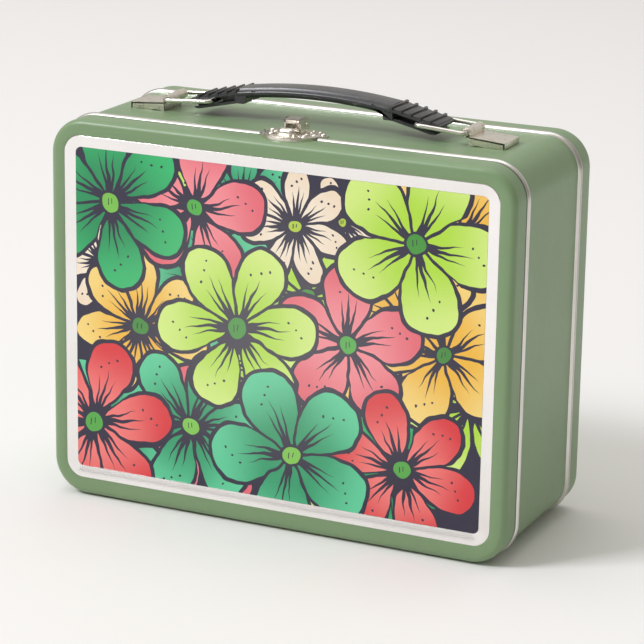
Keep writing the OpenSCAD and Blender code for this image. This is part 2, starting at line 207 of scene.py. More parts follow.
def turn(points: Array, degrees: float, pivot: Sequence[float]) -> Array:
    """Turns points about an axis along Y: x and z are rotated by the angle, and y stays.

    Args:
        points: one row for each point.
        degrees: the angle, positive from +Z towards +X.
        pivot: a point on the axis.

    Returns:
        The turned points.
    """
    a = math.radians(degrees)
    rotation = np.array([[math.cos(a), 0, math.sin(a)], [0, 1, 0], [-math.sin(a), 0, math.cos(a)]])
    return (points - np.array(pivot)) @ rotation.T + np.array(pivot)


def arc(cx: float, cy: float, radius: float, start: float, end: float, steps: int) -> Array:
    """Points of a circle's arc: the middle plus the radius times the cosine and sine of each angle.

    Args:
        cx: the middle's first coordinate.
        cy: the middle's second coordinate.
        radius: the arc's radius.
        start: first angle in degrees.
        end: last angle in degrees.
        steps: number of stretches between the two.

    Returns:
        One row of two coordinates for each point.
    """
    a = np.radians(np.linspace(start, end, steps + 1))
    return np.stack([cx + radius * np.cos(a), cy + radius * np.sin(a)], axis=-1)


def shortened(edges: Array, longest: float, share: float = 0.45) -> Array:
    """Shortens vectors to a length, or to a share of their own length where that is less.

    Args:
        edges: one row for each vector.
        longest: the length wanted.
        share: the most of a vector's own length that is kept.

    Returns:
        The shortened vectors.
    """
    length = np.linalg.norm(edges, axis=1, keepdims=True)
    return np.minimum(longest, share * length) * edges / length


def soft_polygon(corners: Sequence[Sequence[float]], radius: float, steps: int = 3) -> Array:
    """Rounds each corner of a polygon with a quadratic curve.

    Each curve starts and ends the radius away from the corner, and the corner is its control point.

    Args:
        corners: the polygon's corners in order.
        radius: distance from a corner at which its curve starts.
        steps: stretches in each curve.

    Returns:
        One row of two coordinates for each point.
    """
    p = np.array(corners, float)
    before, after = np.roll(p, 1, axis=0) - p, np.roll(p, -1, axis=0) - p
    a, c = p + shortened(before, radius), p + shortened(after, radius)
    t = np.linspace(0, 1, steps + 1)[None, :, None]
    curve = (1 - t) ** 2 * a[:, None] + 2 * t * (1 - t) * p[:, None] + t**2 * c[:, None]
    return curve.reshape(-1, 2)


def extrusion(outline: Array, half: float, edge: float = 0.0) -> Array:
    """Carries an outline of x and z along Y, drawn in a little at both ends.

    Row by row the outline is scaled about its middle so that its edge is rounded over.

    Args:
        outline: x and z of each point.
        half: half of the length along Y.
        edge: how far the ends are rounded.

    Returns:
        A grid of points whose columns close on themselves.
    """
    y = np.array([-half, -half + edge, half - edge, half]) if edge > 0 else np.array([-half, half])
    middle = outline.mean(axis=0)
    reach = np.linalg.norm(outline - middle, axis=1, keepdims=True)
    pull = np.where(np.abs(y) >= half - 1e-9, edge * 0.6, 0.0)
    shape = outline[None] - (outline - middle)[None] / reach[None] * pull[:, None, None]
    return np.stack([shape[..., 0], np.broadcast_to(y[:, None], shape.shape[:2]), shape[..., 1]], axis=-1)


def tube(path: Array, radius: float, steps: int = 16) -> Array:
    """Carries a circle along a path that meets its own start.

    Each ring lies across the path's direction, with its two axes held level by crossing with +Z.

    Args:
        path: the middle line's points.
        radius: radius of the tube.
        steps: points in each ring.

    Returns:
        A grid of points whose columns close on themselves.
    """
    forward = np.roll(path, -1, axis=0) - np.roll(path, 1, axis=0)
    forward /= np.linalg.norm(forward, axis=1, keepdims=True)
    side = np.cross(forward, [0.0, 0.0, 1.0])
    side /= np.linalg.norm(side, axis=1, keepdims=True)
    up = np.cross(side, forward)
    a = np.linspace(0, 2 * np.pi, steps, endpoint=False)
    ring = side[:, None] * np.cos(a)[None, :, None] + up[:, None] * np.sin(a)[None, :, None]
    return path[:, None] + radius * ring


def rim_of(grid: Array) -> Array:
    """Walks once round the edge of a grid of points.

    Args:
        grid: points by row and column.

    Returns:
        The edge's points in order.
    """
    return np.concatenate([grid[0, :], grid[1:, -1], grid[-1, -2::-1], grid[-2:0:-1, 0]])


def dome(centre: Sequence[float], radius: float, height: float, rings: int = 8, steps: int = 24) -> Array:
    """A shallow dome that stands on a level circle.

    The radius falls as the cosine and the height rises as the sine of one angle, up to the pole.

    Args:
        centre: middle of the dome's foot.
        radius: radius of the foot.
        height: how far the dome rises.
        rings: rings from foot to pole.
        steps: points in each ring.

    Returns:
        A grid of points whose columns close on themselves.
    """
    a = np.linspace(0, np.pi / 2, rings)[:, None]
    b = np.linspace(0, 2 * np.pi, steps, endpoint=False)[None, :]
    x = centre[0] + radius * np.cos(a) * np.cos(b)
    y = centre[1] + radius * np.cos(a) * np.sin(b)
    z = centre[2] + height * np.sin(a) + 0 * b
    return np.stack([x, y, z], axis=-1)


def dressed(
    piece: bpy.types.Object, material: bpy.types.Material, slot: str, body: str, *stands_for: str
) -> bpy.types.Object:
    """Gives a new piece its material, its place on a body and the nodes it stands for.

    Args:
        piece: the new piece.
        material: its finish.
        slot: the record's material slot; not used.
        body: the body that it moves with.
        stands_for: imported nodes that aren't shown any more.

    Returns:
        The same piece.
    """
    piece.data.materials.clear()
    piece.data.materials.append(material)
    if stands_for:
        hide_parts(*stands_for)
    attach(piece, body)
    LOG.info("%s: %d faces, rides on %s", piece.name, len(piece.data.polygons), body)
    return piece


def redress(node: bpy.types.Object, material: bpy.types.Material) -> None:
    """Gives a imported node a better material, and leaves its mesh alone.

    Args:
        node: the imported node.
        material: its finish.
    """
    node.data.materials.clear()
    node.data.materials.append(material)
    LOG.info("%s: packed node with the finish %s", node.name, material.name)


# ---- the case's outline ---------------------------------------------------------------------


@dataclass(frozen=True)
class Outline:
    """Rounded rectangle standing in the XZ plane, which sheets and beads follow.

    A place on it is a number from 0 to 9: bottom right half, corner, right side, corner, top,
    corner, left side, corner, bottom left half. Its point is the corner circle's middle, which
    moves in straight lines, plus the radius times the outward direction, which turns in the corners.
    """

    width: float
    height: float
    radius: float
    centre_z: float

    def at(self, place: Array, inset: float = 0.0) -> tuple[Array, Array]:
        """Gives the points at the places, moved inwards.

        Args:
            place: places from 0 to 9.
            inset: distance inwards from the outline.

        Returns:
            x and z of each place.
        """
        a, b = self.width / 2 - self.radius, self.height / 2 - self.radius
        knots = np.arange(10)
        angle = np.radians(np.interp(place, knots, [-90, -90, 0, 0, 90, 90, 180, 180, 270, 270]))
        x = np.interp(place, knots, [0, a, a, a, a, -a, -a, -a, -a, 0])
        z = np.interp(place, knots, [-b, -b, -b, b, b, b, b, -b, -b, -b])
        reach = self.radius - inset
        return x + reach * np.cos(angle), self.centre_z + z + reach * np.sin(angle)

    def bottom(self, x: float) -> float:
        """Place on the bottom edge with that x.

        Args:
            x: x on the bottom edge.

        Returns:
            The place.
        """
        a = self.width / 2 - self.radius
        return x / a if x >= 0 else 9 + x / a

    def top(self, x: float) -> float:
        """Place on the top edge with that x.

        Args:
            x: x on the top edge.

        Returns:
            The place.
        """
        a = self.width / 2 - self.radius
        return 4 + (a - x) / (2 * a)


def places(corner_steps: int = 18, side_steps: int = 8) -> Array:
    """Places all round an outline, closer together in its corners, without the last one.

    Args:
        corner_steps: places in each corner.
        side_steps: places on each straight stretch.

    Returns:
        The places in order.
    """
    steps = [side_steps if k % 2 == 0 else corner_steps for k in range(9)]
    return np.concatenate([k + np.arange(n) / n for k, n in enumerate(steps)])


Row = tuple[Outline, float, float]


def lofted(rows: Sequence[Row], where: Array) -> Array:
    """Carries a section round the case.

    Point (i, j) lies at place i of row j's outline, moved in by row j's inset, at row j's depth.

    Args:
        rows: outline, inset and depth of each point of the section.
        where: the places.

    Returns:
        A grid of points, by place and by row of the section.
    """
    columns = []
    for outline, inset, depth in rows:
        x, z = outline.at(where, inset)
        columns.append(np.stack([x, np.full_like(x, depth), z], axis=-1))
    return np.stack(columns, axis=1)


@dataclass
class CaseSizes:
    """Sizes that the band, the covers and the beads share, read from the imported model."""

    corner_r: float = 16 * MM
    fold_r: float = 3 * MM
    sheet: float = 0.8 * MM
    bead_r: float = 1.7 * MM
    bead_proud: float = 0.8 * MM
    window_r: float = 8 * MM
    border: float = 5.3 * MM
    border_drop: float = 0.9 * MM
    hinge_gap: float = 0.3 * MM

    def __post_init__(self) -> None:
        """Reads the boxes of the covers, the panel, the band and a hinge leaf."""
        lo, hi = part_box("front_cover")
        self.face = -lo.y
        self.seam = -hi.y
        self.cover = Outline(hi.x - lo.x, hi.z - lo.z, self.corner_r, (hi.z + lo.z) / 2)
        self.top = hi.z
        lo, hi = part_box("front_art_plate")
        middle = (hi.z + lo.z) / 2
        width, height = hi.x - lo.x + 2 * self.border, hi.z - lo.z + 2 * self.border
        self.window = Outline(width, height, self.window_r, middle)
        self.art_front, self.art_back = lo.y, hi.y
        lo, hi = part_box("body_band")
        self.band_inset = self.cover.width / 2 - hi.x
        self.band_front, self.band_rear = lo.y, hi.y
        self.band_top = hi.z
        lo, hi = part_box("hinge_leaf_lid_right")
        self.hinge_span = (lo.x - self.hinge_gap, hi.x + self.hinge_gap)
        self.where = places()

    def fold(self, inner: float, side: int, steps: int = 7) -> list[Row]:
        """Section rows round a cover's fold, from its wall to its face.

        Args:
            inner: 0 for the outer skin, or the sheet's thickness for the inner one.
            side: -1 for the front cover and 1 for the rear one.
            steps: stretches in the fold.

        Returns:
            Outline, inset and depth of each row.
        """
        r = self.fold_r
        a = np.radians(np.linspace(0, 90, steps + 1))
        return [
            (self.cover, r - (r - inner) * math.cos(t), side * (self.face - r + (r - inner) * math.sin(t)))
            for t in a
        ]


@dataclass
class Case:
    """The painted band and rear cover with the bead over their seam."""

    sizes: CaseSizes
    neck_inset: float = 1.2 * MM
    neck_wall: float = 0.8 * MM
    band_wall: float = 1.0 * MM
    knuckle_room: float = 1.5 * MM
    rear_margin: float = 14 * MM
    panel_drop: float = 0.8 * MM
    panel_slope: float = 2.5 * MM
    panel_r: float = 8 * MM

    def band(self) -> Shell:
        """Makes the band and the neck that the lid closes over.

        The section is carried round the case. Under the case its front edge steps back where
        the hinge knuckles turn: the depth of the front rows is the larger of the edge and the step.

        Returns:
            The band, open to the front and the rear.
        """
        s = self.sizes
        edge = -(s.seam - s.bead_r - 0.3 * MM)
        inner = s.band_inset + self.band_wall
        neck_in = self.neck_inset + self.neck_wall
        tail = s.band_rear
        rows = [
            (s.cover, self.neck_inset, s.band_front),
            (s.cover, self.neck_inset, edge - 0.2 * MM),
            (s.cover, self.neck_inset - 0.2 * MM, edge),
            (s.cover, s.band_inset + 0.15 * MM, edge),
            (s.cover, s.band_inset, edge + 0.15 * MM),
            (s.cover, s.band_inset, 0.0),
            (s.cover, s.band_inset, s.seam),
            (s.cover, s.sheet, s.seam + 0.3 * MM),
            (s.cover, s.sheet, tail),
            (s.cover, inner, tail),
            (s.cover, inner, 0.0),
            (s.cover, inner, edge - 1.2 * MM),
            (s.cover, neck_in, edge - 1.9 * MM),
            (s.cover, neck_in, s.band_front),
        ]
        near, far = s.hinge_span
        cuts = np.array([s.cover.bottom(side * x) for side in (-1, 1) for x in (near, far)])
        beside = 1e-4
        grid = lofted(rows, np.sort(np.concatenate([s.where, cuts - beside, cuts + beside])))
        x, z = grid[:, 3, 0], grid[:, 3, 2]
        under = (z < s.cover.centre_z) & (np.abs(x) > near) & (np.abs(x) < far)
        grid[:, 2:5, 1] += np.where(under, self.knuckle_room, 0.0)[:, None]
        shell = Shell()
        shell.grid(grid, wrap=(True, True))
        return shell

    def rear_cover(self) -> Shell:
        """Makes the rear cover with its pressed panel, as one closed skin, outer side then inner side.

        Returns:
            The rear cover.
        """
        s = self.sizes
        width = s.cover.width - 2 * self.rear_margin
        height = s.cover.height - 2 * self.rear_margin
        panel = Outline(width, height, self.panel_r, s.cover.centre_z)
        face, low = s.face, s.face - self.panel_drop
        outer = [(s.cover, 0.0, s.seam), *s.fold(0.0, 1)]
        outer += [(panel, -0.3 * MM, face), (panel, 0.25 * MM, face - 0.05 * MM)]
        outer += [(panel, self.panel_slope - 0.25 * MM, low + 0.05 * MM)]
        outer += [(panel, self.panel_slope + 0.3 * MM, low)]
        inner = [(panel, self.panel_slope, low - s.sheet), (panel, 0.0, face - s.sheet)]
        inner += [*s.fold(s.sheet, 1)[::-1], (s.cover, s.sheet, s.seam)]
        shell = Shell()
        shell.grid(np.swapaxes(lofted(outer[::-1], s.where), 0, 1), wrap=(False, True), caps=(True, False))
        shell.grid(np.swapaxes(lofted(inner[::-1], s.where), 0, 1), wrap=(False, True), caps=(False, True))
        shell.grid(np.swapaxes(lofted([outer[0], inner[-1]], s.where), 0, 1), wrap=(False, True))
        return shell

    def make(self, finishes: "Finishes") -> None:
        """Builds and dresses the case's own pieces.

        Args:
            finishes: the materials.
        """
        s = self.sizes
        dressed(self.band().build("band"), finishes.enamel, "case_paint", "case", "body_band")
        dressed(self.rear_cover().build("back_cover"), finishes.enamel, "case_paint", "case", "rear_cover")
        bead = Bead(s)
        dressed(bead.rear().build("back_rim"), finishes.rim, "rim_steel", "case", "rear_rim_bead")


@dataclass
class Bead:
    """Half-round bead that is rolled over a seam of the sheets."""

    sizes: CaseSizes
    steps: int = 12

    def section(self, grip: float, side: int) -> list[Row]:
        """Section of a bead: a circle's arc from the cover's skin over the top to the gripped sheet.

        Args:
            grip: inset of the gripped sheet's surface behind the joint.
            side: -1 for the front bead and 1 for the rear one.

        Returns:
            Outline, inset and depth of each row.
        """
        s = self.sizes
        sunk = s.bead_r - s.bead_proud
        first = math.degrees(math.asin(sunk / s.bead_r))
        last = 180 - math.degrees(math.asin(max(-1.0, (sunk - grip) / s.bead_r)))
        curve = arc(0.0, 0.0, s.bead_r, first, last, self.steps)
        rows = [(s.cover, sunk - up, side * (s.seam + along)) for along, up in curve]
        return rows + [(s.cover, grip, side * s.seam), (s.cover, 0.0, side * s.seam)]

    def rear(self) -> Shell:
        """Makes the rear bead, which runs all the way round.

        Returns:
            The bead.
        """
        shell = Shell()
        shell.grid(lofted(self.section(self.sizes.band_inset, 1), self.sizes.where), wrap=(True, True))
        return shell

    def front(self, hinge: tuple[float, float], catch: float) -> Shell:
        """Makes the front bead, in three lengths that end at the hinges and at the catch.

        Args:
            hinge: smallest and largest distance of a hinge from the middle.
            catch: half width of the gap at the catch.

        Returns:
            The three lengths with closed ends.
        """
        c = self.sizes.cover
        near, far = hinge
        spans = [
            (c.bottom(far), c.top(catch)),
            (c.top(-catch), c.bottom(-far)),
            (c.bottom(-near) - 9, c.bottom(near)),
        ]
        rows = self.section(self.sizes.sheet, -1)
        shell = Shell()
        for start, end in spans:
            inside = np.concatenate([self.sizes.where - 9, self.sizes.where])
            inside = inside[(inside > start + 1e-3) & (inside < end - 1e-3)]
            where = np.concatenate([[start], inside, [end]])
            grid = lofted(rows, np.mod(where, 9))
            shell.grid(grid, wrap=(False, True), caps=(True, True))
        return shell


@dataclass
class Lid:
    """The front cover with its bead, the bare metal tray and the printed plate."""

    sizes: CaseSizes
    tray_sheet: float = 0.6 * MM
    flange: float = 2.5 * MM
    catch_gap: float = 13.6 * MM

    def cover(self) -> Shell:
        """Makes the painted frame of the lid: one closed section carried round the case.

        Returns:
            The frame.
        """
        s = self.sizes
        f, t, soft = -s.face, s.sheet, 0.2 * MM
        rows = [(s.cover, 0.0, -s.seam), *s.fold(0.0, -1)]
        rows += [(s.window, -soft, f), (s.window, -0.06 * MM, f + 0.06 * MM), (s.window, 0.0, f + soft)]
        rows += [(s.window, 0.0, f + t), *s.fold(t, -1)[::-1], (s.cover, t, -s.seam)]
        shell = Shell()
        shell.grid(lofted(rows, s.where), wrap=(True, True))
        return shell

    def tray(self) -> Shell:
        """Makes the tray: its sloping border, its floor, and its flange behind the frame.

        Returns:
            The tray.
        """
        s = self.sizes
        f, floor = -s.face, s.art_back
        lip = f + s.sheet
        front = [(s.window, s.border + 0.3 * MM, floor), (s.window, s.border, floor - 0.1 * MM)]
        front += [(s.window, s.border - 0.1 * MM, f + s.border_drop), (s.window, 2.8 * MM, f + 0.48 * MM)]
        front += [(s.window, 0.55 * MM, f + 0.03 * MM), (s.window, 0.25 * MM, f)]
        front += [(s.window, 0.05 * MM, f + 0.1 * MM)]
        front += [(s.window, 0.0, f + 0.3 * MM), (s.window, 0.0, lip), (s.window, -self.flange, lip)]
        rear = [(s.window, -self.flange, lip + self.tray_sheet), (s.window, 1 * MM, lip + self.tray_sheet)]
        rear += [(s.window, s.border, floor + self.tray_sheet)]
        shell = Shell()
        shell.grid(np.swapaxes(lofted(front + rear, s.where), 0, 1), wrap=(False, True), caps=(True, True))
        return shell

    def plate(self) -> Shell:
        """Makes the printed plate, with a hair of rounding on its edge.

        Returns:
            The plate.
        """
        s = self.sizes
        hair = 0.08 * MM
        rows = [(s.window, s.border + hair, s.art_front), (s.window, s.border, s.art_front + hair)]
        rows += [(s.window, s.border, s.art_back)]
        shell = Shell()
        shell.grid(np.swapaxes(lofted(rows, s.where), 0, 1), wrap=(False, True), caps=(True, True))
        return shell

    def make(self, finishes: "Finishes") -> None:
        """Builds and dresses the lid's pieces.

        Args:
            finishes: the materials.
        """
        bead = Bead(self.sizes).front(self.sizes.hinge_span, self.catch_gap)
        dressed(self.cover().build("lid_frame"), finishes.enamel, "case_paint", "lid", "front_cover")
        dressed(bead.build("lid_rim"), finishes.rim, "rim_steel", "lid", "front_rim_bead")
        dressed(self.tray().build("lid_tray"), finishes.tin, "panel_tin", "lid", "front_panel_tray")
        dressed(self.plate().build("printed_plate"), finishes.print, "panel_print", "lid", "front_art_plate")


# ---- handle ---------------------------------------------------------------------------------


@dataclass
class Handle:
    """The moulded handle, its wire loops and the pressed brackets that hold the loops."""

    sizes: CaseSizes
    grip_w: float = 17.4 * MM
    crown_ease: float = 0.8 * MM
    arch_r: float = 240 * MM
    arch_t: float = 4.9 * MM
    plate_x: float = 36 * MM
    plate_drop: float = 3.8 * MM
    plate_slope: float = 12.7
    plate_w: float = 17.2 * MM
    plate_t: float = 1.3 * MM
    slot_h: float = 2.7 * MM
    sole_t: float = 1.2 * MM
    inner_web: float = 11 * MM
    outer_web: tuple[float, float] = (20.3 * MM, 22.9 * MM)
    rib_count: int = 5
    rib_pitch: float = 4.6 * MM
    rib_h: float = 1.05 * MM
    wire_r: float = 1.0 * MM
    bend_tight: float = 1.4 * MM
    bend_wide: float = 2.4 * MM
    loop_half: float = 10.2 * MM
    barrel_r: float = 2.2 * MM
    barrel_half: float = 7.8 * MM
    press_t: float = 0.8 * MM
    bracket_high: float = 3.5 * MM
    bracket_low: float = 2.2 * MM
    skirt_wave: float = 0.28 * MM
    sole_half: float = 7.6 * MM
    end_soft: float = 0.35 * MM

    def __post_init__(self) -> None:
        """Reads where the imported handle, loop and bracket lie."""
        lo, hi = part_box("handle_grip")
        self.crown = hi.z - self.crown_ease
        self.end_x = hi.x
        lo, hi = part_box("handle_wire_right")
        self.pivot = (hi.x - self.wire_r, lo.z + self.wire_r)
        self.bar = (lo.x + self.wire_r, hi.z - self.wire_r)
        lo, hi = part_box("handle_bracket_right")
        self.bracket_w = hi.y - lo.y
        self.bracket_x = (self.pivot[0] + 1.2 * MM, hi.x)
        self.top = self.sizes.top
        self.plate_z = self.crown - self.plate_drop
        self.plate_len = (self.end_x - self.plate_x) / math.cos(math.radians(self.plate_slope))

    def grip_section(self) -> Array:
        """Half of the grip's section, as width and height from the crown, on the +Y side.

        From the middle of the top it falls gently to a shallow groove, swells into a side rail,
        and turns under to a hollow belly.

        Returns:
            y and height of each point.
        """
        hw = self.grip_w / 2
        top = np.linspace(0, 0.66 * hw, 7)
        crown = np.stack([top, -0.55 * MM * (top / hw) ** 2], axis=-1)
        groove = np.array([[0.70 * hw, -0.75 * MM], [0.74 * hw, -1.15 * MM], [0.79 * hw, -1.2 * MM]])
        rail = arc(0.84 * hw, -2.35 * MM, 1.35 * MM, 98, -62, 9)
        belly_y = np.linspace(0.80 * hw, 0.0, 7)
        belly = np.stack([belly_y, -self.arch_t + 0.95 * MM * (belly_y / hw) ** 2], axis=-1)
        return np.concatenate([crown, groove, rail, belly])

    def arch(self) -> Shell:
        """Makes the arched grip: its section carried along a circle's arc, wider towards the ends.

        Point (i, j) lies at x of row i; its height is the arch's plus the section's, and its
        width is the section's times a flare that grows with the square of x.

        Returns:
            The arch.
        """
        half = self.grip_section()
        section = np.concatenate([half, half[-2:0:-1] * [-1, 1]])
        x = np.linspace(-self.plate_x - 0.4 * MM, self.plate_x + 0.4 * MM, 61)
        drop = self.arch_r - np.sqrt(self.arch_r**2 - x**2)
        flare = 0.97 + 0.03 * (x / self.plate_x) ** 2
        y = section[None, :, 0] * flare[:, None]
        z = self.crown - drop[:, None] + section[None, :, 1]
        grid = np.stack([np.broadcast_to(x[:, None], y.shape), y, z], axis=-1)
        shell = Shell()
        shell.grid(grid, wrap=(False, True), caps=(True, True))
        return shell

    def root(self) -> Shell:
        """Makes the solid root under the right end of the arch, with its hollowed web.

        Returns:
            The root.
        """
        base = self.plate_z - self.plate_t - self.slot_h - self.sole_t - 0.25 * MM
        x0, x1 = self.plate_x - 9.5 * MM, self.plate_x + 1.6 * MM
        under = self.crown - self.arch_t - 1.1 * MM
        hollow = arc(x0 - 0.2 * MM, base - 0.3 * MM, 7.0 * MM, 78, 3, 10)
        tail = [[x1, base], [x1, self.plate_z + 0.25 * MM], [x0, under + 1.6 * MM]]
        outline = np.concatenate([hollow, np.array(tail)])
        shell = Shell()
        grid = extrusion(outline, self.grip_w / 2 - self.end_soft, self.end_soft)
        shell.grid(grid, wrap=(False, True), caps=(True, True))
        return shell

    def plates(self) -> Shell:
        """Makes the right end: a sloping ribbed plate over a sole, with a web inside and at the end.

        Returns:
            The right end's blocks.
        """
        x0, z0, hw = self.plate_x, self.plate_z, self.plate_w / 2
        length, deep = self.plate_len, self.plate_t + self.slot_h
        pivot = (x0, 0.0, z0)
        shell = Shell()

        def block(corners: Sequence[Sequence[float]], half: float, radius: float = 0.25 * MM) -> None:
            """Adds a bar along Y with that outline, turned onto the slope.

            Args:
                corners: the bar's corners, along the slope and above it.
                half: half of its length along Y.
                radius: how much its corners are rounded.
            """
            outline = soft_polygon(np.array(corners) + [x0, z0], radius, 2)
            grid = extrusion(outline, half, 0.2 * MM)
            rows, cols = grid.shape[:2]
            grid = turn(grid.reshape(-1, 3), self.plate_slope, pivot).reshape(rows, cols, 3)
            shell.grid(grid, wrap=(False, True), caps=(True, True))

        block([[0, -self.plate_t], [length, -self.plate_t], [length, -0.15 * MM], [0, 0]], hw)
        for i in range(self.rib_count):
            at = 0.3 * MM + i * self.rib_pitch
            rib = [[at, -0.5 * MM], [at + 1.35 * MM, -0.5 * MM]]
            rib += [[at + 1.2 * MM, self.rib_h], [at + 0.1 * MM, self.rib_h]]
            block(rib, hw + 0.35 * MM, 0.22 * MM)
            treads = [[at + 1.1 * MM, -0.3 * MM], [at + self.rib_pitch - 0.3 * MM, -0.3 * MM]]
            treads += [[at + self.rib_pitch - 0.3 * MM, 0.08 * MM], [at + 1.1 * MM, 0.42 * MM]]
            block(treads, hw - 0.25 * MM, 0.15 * MM)
        sole = [[0, -deep - self.sole_t], [length - 3.2 * MM, -deep - self.sole_t]]
        sole += [[length - 1.2 * MM, -deep - self.sole_t * 0.45], [length - 1 * MM, -deep], [0, -deep]]
        block(sole, self.sole_half, 0.3 * MM)
        floor, roof = -deep - 0.2 * MM, -self.plate_t + 0.2 * MM
        for start, end, half in ((0, self.inner_web, 3 * MM), (self.outer_web[0], self.outer_web[1], 4 * MM)):
            block([[start, floor], [end, floor], [end, roof], [start, roof]], half)
        return shell

    def loop(self) -> Shell:
        """Makes the right wire loop: a closed path of four straight runs and four bends.

        In the loop's own plane a bend is a circle's arc about a point that lies one bend radius
        in from both runs. The plane rises from the pivot to the bar.

        Returns:
            The loop.
        """
        reach = math.hypot(self.pivot[0] - self.bar[0], self.pivot[1] - self.bar[1])
        tilt = math.atan2(self.bar[1] - self.pivot[1], self.pivot[0] - self.bar[0])
        t, w, hy = self.bend_tight, self.bend_wide, self.loop_half
        bends = [
            arc(t, hy - t, t, 180, 90, 6),
            arc(reach - w, hy - w, w, 90, 0, 8),
            arc(reach - w, -hy + w, w, 0, -90, 8),
            arc(t, -hy + t, t, -90, -180, 6),
        ]
        flat = np.concatenate(bends)
        gaps = np.linalg.norm(np.roll(flat, -1, axis=0) - flat, axis=1)
        run = np.concatenate([[0], np.cumsum(gaps)])
        s = np.linspace(0, run[-1], 160, endpoint=False)
        ring = np.concatenate([flat, flat[:1]])
        along, y = np.interp(s, run, ring[:, 0]), np.interp(s, run, ring[:, 1])
        x = self.pivot[0] - along * math.cos(tilt)
        z = self.pivot[1] + along * math.sin(tilt)
        shell = Shell()
        shell.grid(tube(np.stack([x, y, z], axis=-1), self.wire_r), wrap=(True, True))
        return shell

    def bracket(self) -> Shell:
        """Makes the right bracket: a pressed wedge with side skirts, and the rolled barrel at its high end.

        Returns:
            The bracket.
        """
        x0, x1 = self.bracket_x
        foot = self.sizes.band_top
        high, low = self.top + self.bracket_high, self.top + self.bracket_low
        t, hw = self.press_t, self.bracket_w / 2
        shell = Shell()
        corners = [[x0, high - t], [x1 - t, low - t], [x1 - t, foot], [x1, foot], [x1, low], [x0, high]]
        skin = soft_polygon(corners, 0.35 * MM, 3)
        shell.grid(extrusion(skin, hw, 0.12 * MM), wrap=(False, True), caps=(True, True))
        wave_x = np.linspace(x0, x1 - 0.2 * MM, 25)
        share = (wave_x - x0) / (x1 - x0)
        wave_z = foot + self.skirt_wave * (1 - np.cos(share * 4 * np.pi)) * (1 - share)
        roof = high - 0.3 * MM + (low - high) * share
        skirt = np.concatenate([np.stack([wave_x, wave_z], -1), np.stack([wave_x, roof], -1)[::-1]])
        for side in (-1, 1):
            bar = extrusion(skirt, t / 2, 0.04 * MM)
            bar[..., 1] += side * (hw - t / 2)
            shell.grid(bar, wrap=(False, True), caps=(True, True))
        z0, z1 = foot + 0.1 * MM, high - 0.1 * MM
        inner = soft_polygon([[x0, z0], [x0 + t, z0], [x0 + t, z1], [x0, z1]], 0.1 * MM, 2)
        shell.grid(extrusion(inner, hw - 0.3 * MM), wrap=(False, True), caps=(True, True))
        shell.grid(self.barrel(), wrap=(False, True), caps=(False, False))
        px, pz = self.pivot
        corners = [[px, high - t], [x0 + 0.6 * MM, high - t], [x0 + 0.6 * MM, high], [px, pz + self.barrel_r]]
        lip = soft_polygon(corners, 0.1 * MM, 2)
        shell.grid(extrusion(lip, self.barrel_half, 0.1 * MM), wrap=(False, True), caps=(True, True))
        return shell

    def barrel(self) -> Array:
        """The rolled barrel: a thick-walled tube along Y, as rows from the bore's end round to its start.

        Returns:
            A grid of points whose columns close on themselves.
        """
        bore, out, half = self.wire_r + 0.05 * MM, self.barrel_r, self.barrel_half
        soft = 0.2 * MM
        radius = np.array([bore, bore + soft, out - soft, out, out, out - soft, bore + soft, bore, bore])
        near, far = half - soft, half
        y = np.array([near, far, far, near, -near, -far, -far, -near, near])
        a = np.linspace(0, 2 * np.pi, 40, endpoint=False)
        x = self.pivot[0] + radius[:, None] * np.cos(a)[None]
        z = self.pivot[1] + radius[:, None] * np.sin(a)[None]
        return np.stack([x, np.broadcast_to(y[:, None], x.shape), z], axis=-1)

    def make(self, finishes: "Finishes") -> None:
        """Builds and dresses the handle, the loops and the brackets.

        Args:
            finishes: the materials.
        """
        whole = self.arch()
        for part in (self.root(), self.plates()):
            for half in (part, part.mirrored()):
                whole.add(np.concatenate(half.points), half.faces, np.concatenate(half.strips))
        dressed(whole.build("handle"), finishes.moulding, "grip_plastic", "handle", "handle_grip")
        for name, flip in (("right", False), ("left", True)):
            loop, bracket = self.loop(), self.bracket()
            if flip:
                loop, bracket = loop.mirrored(), bracket.mirrored()
            made = loop.build(f"loop_{name}")
            dressed(made, finishes.wire, "loop_wire", f"loop_{name}", f"handle_wire_{name}")
            made = bracket.build(f"bracket_{name}")
            dressed(made, finishes.nickel, "nickel", "case", f"handle_bracket_{name}")


# ---- latch ----------------------------------------------------------------------------------


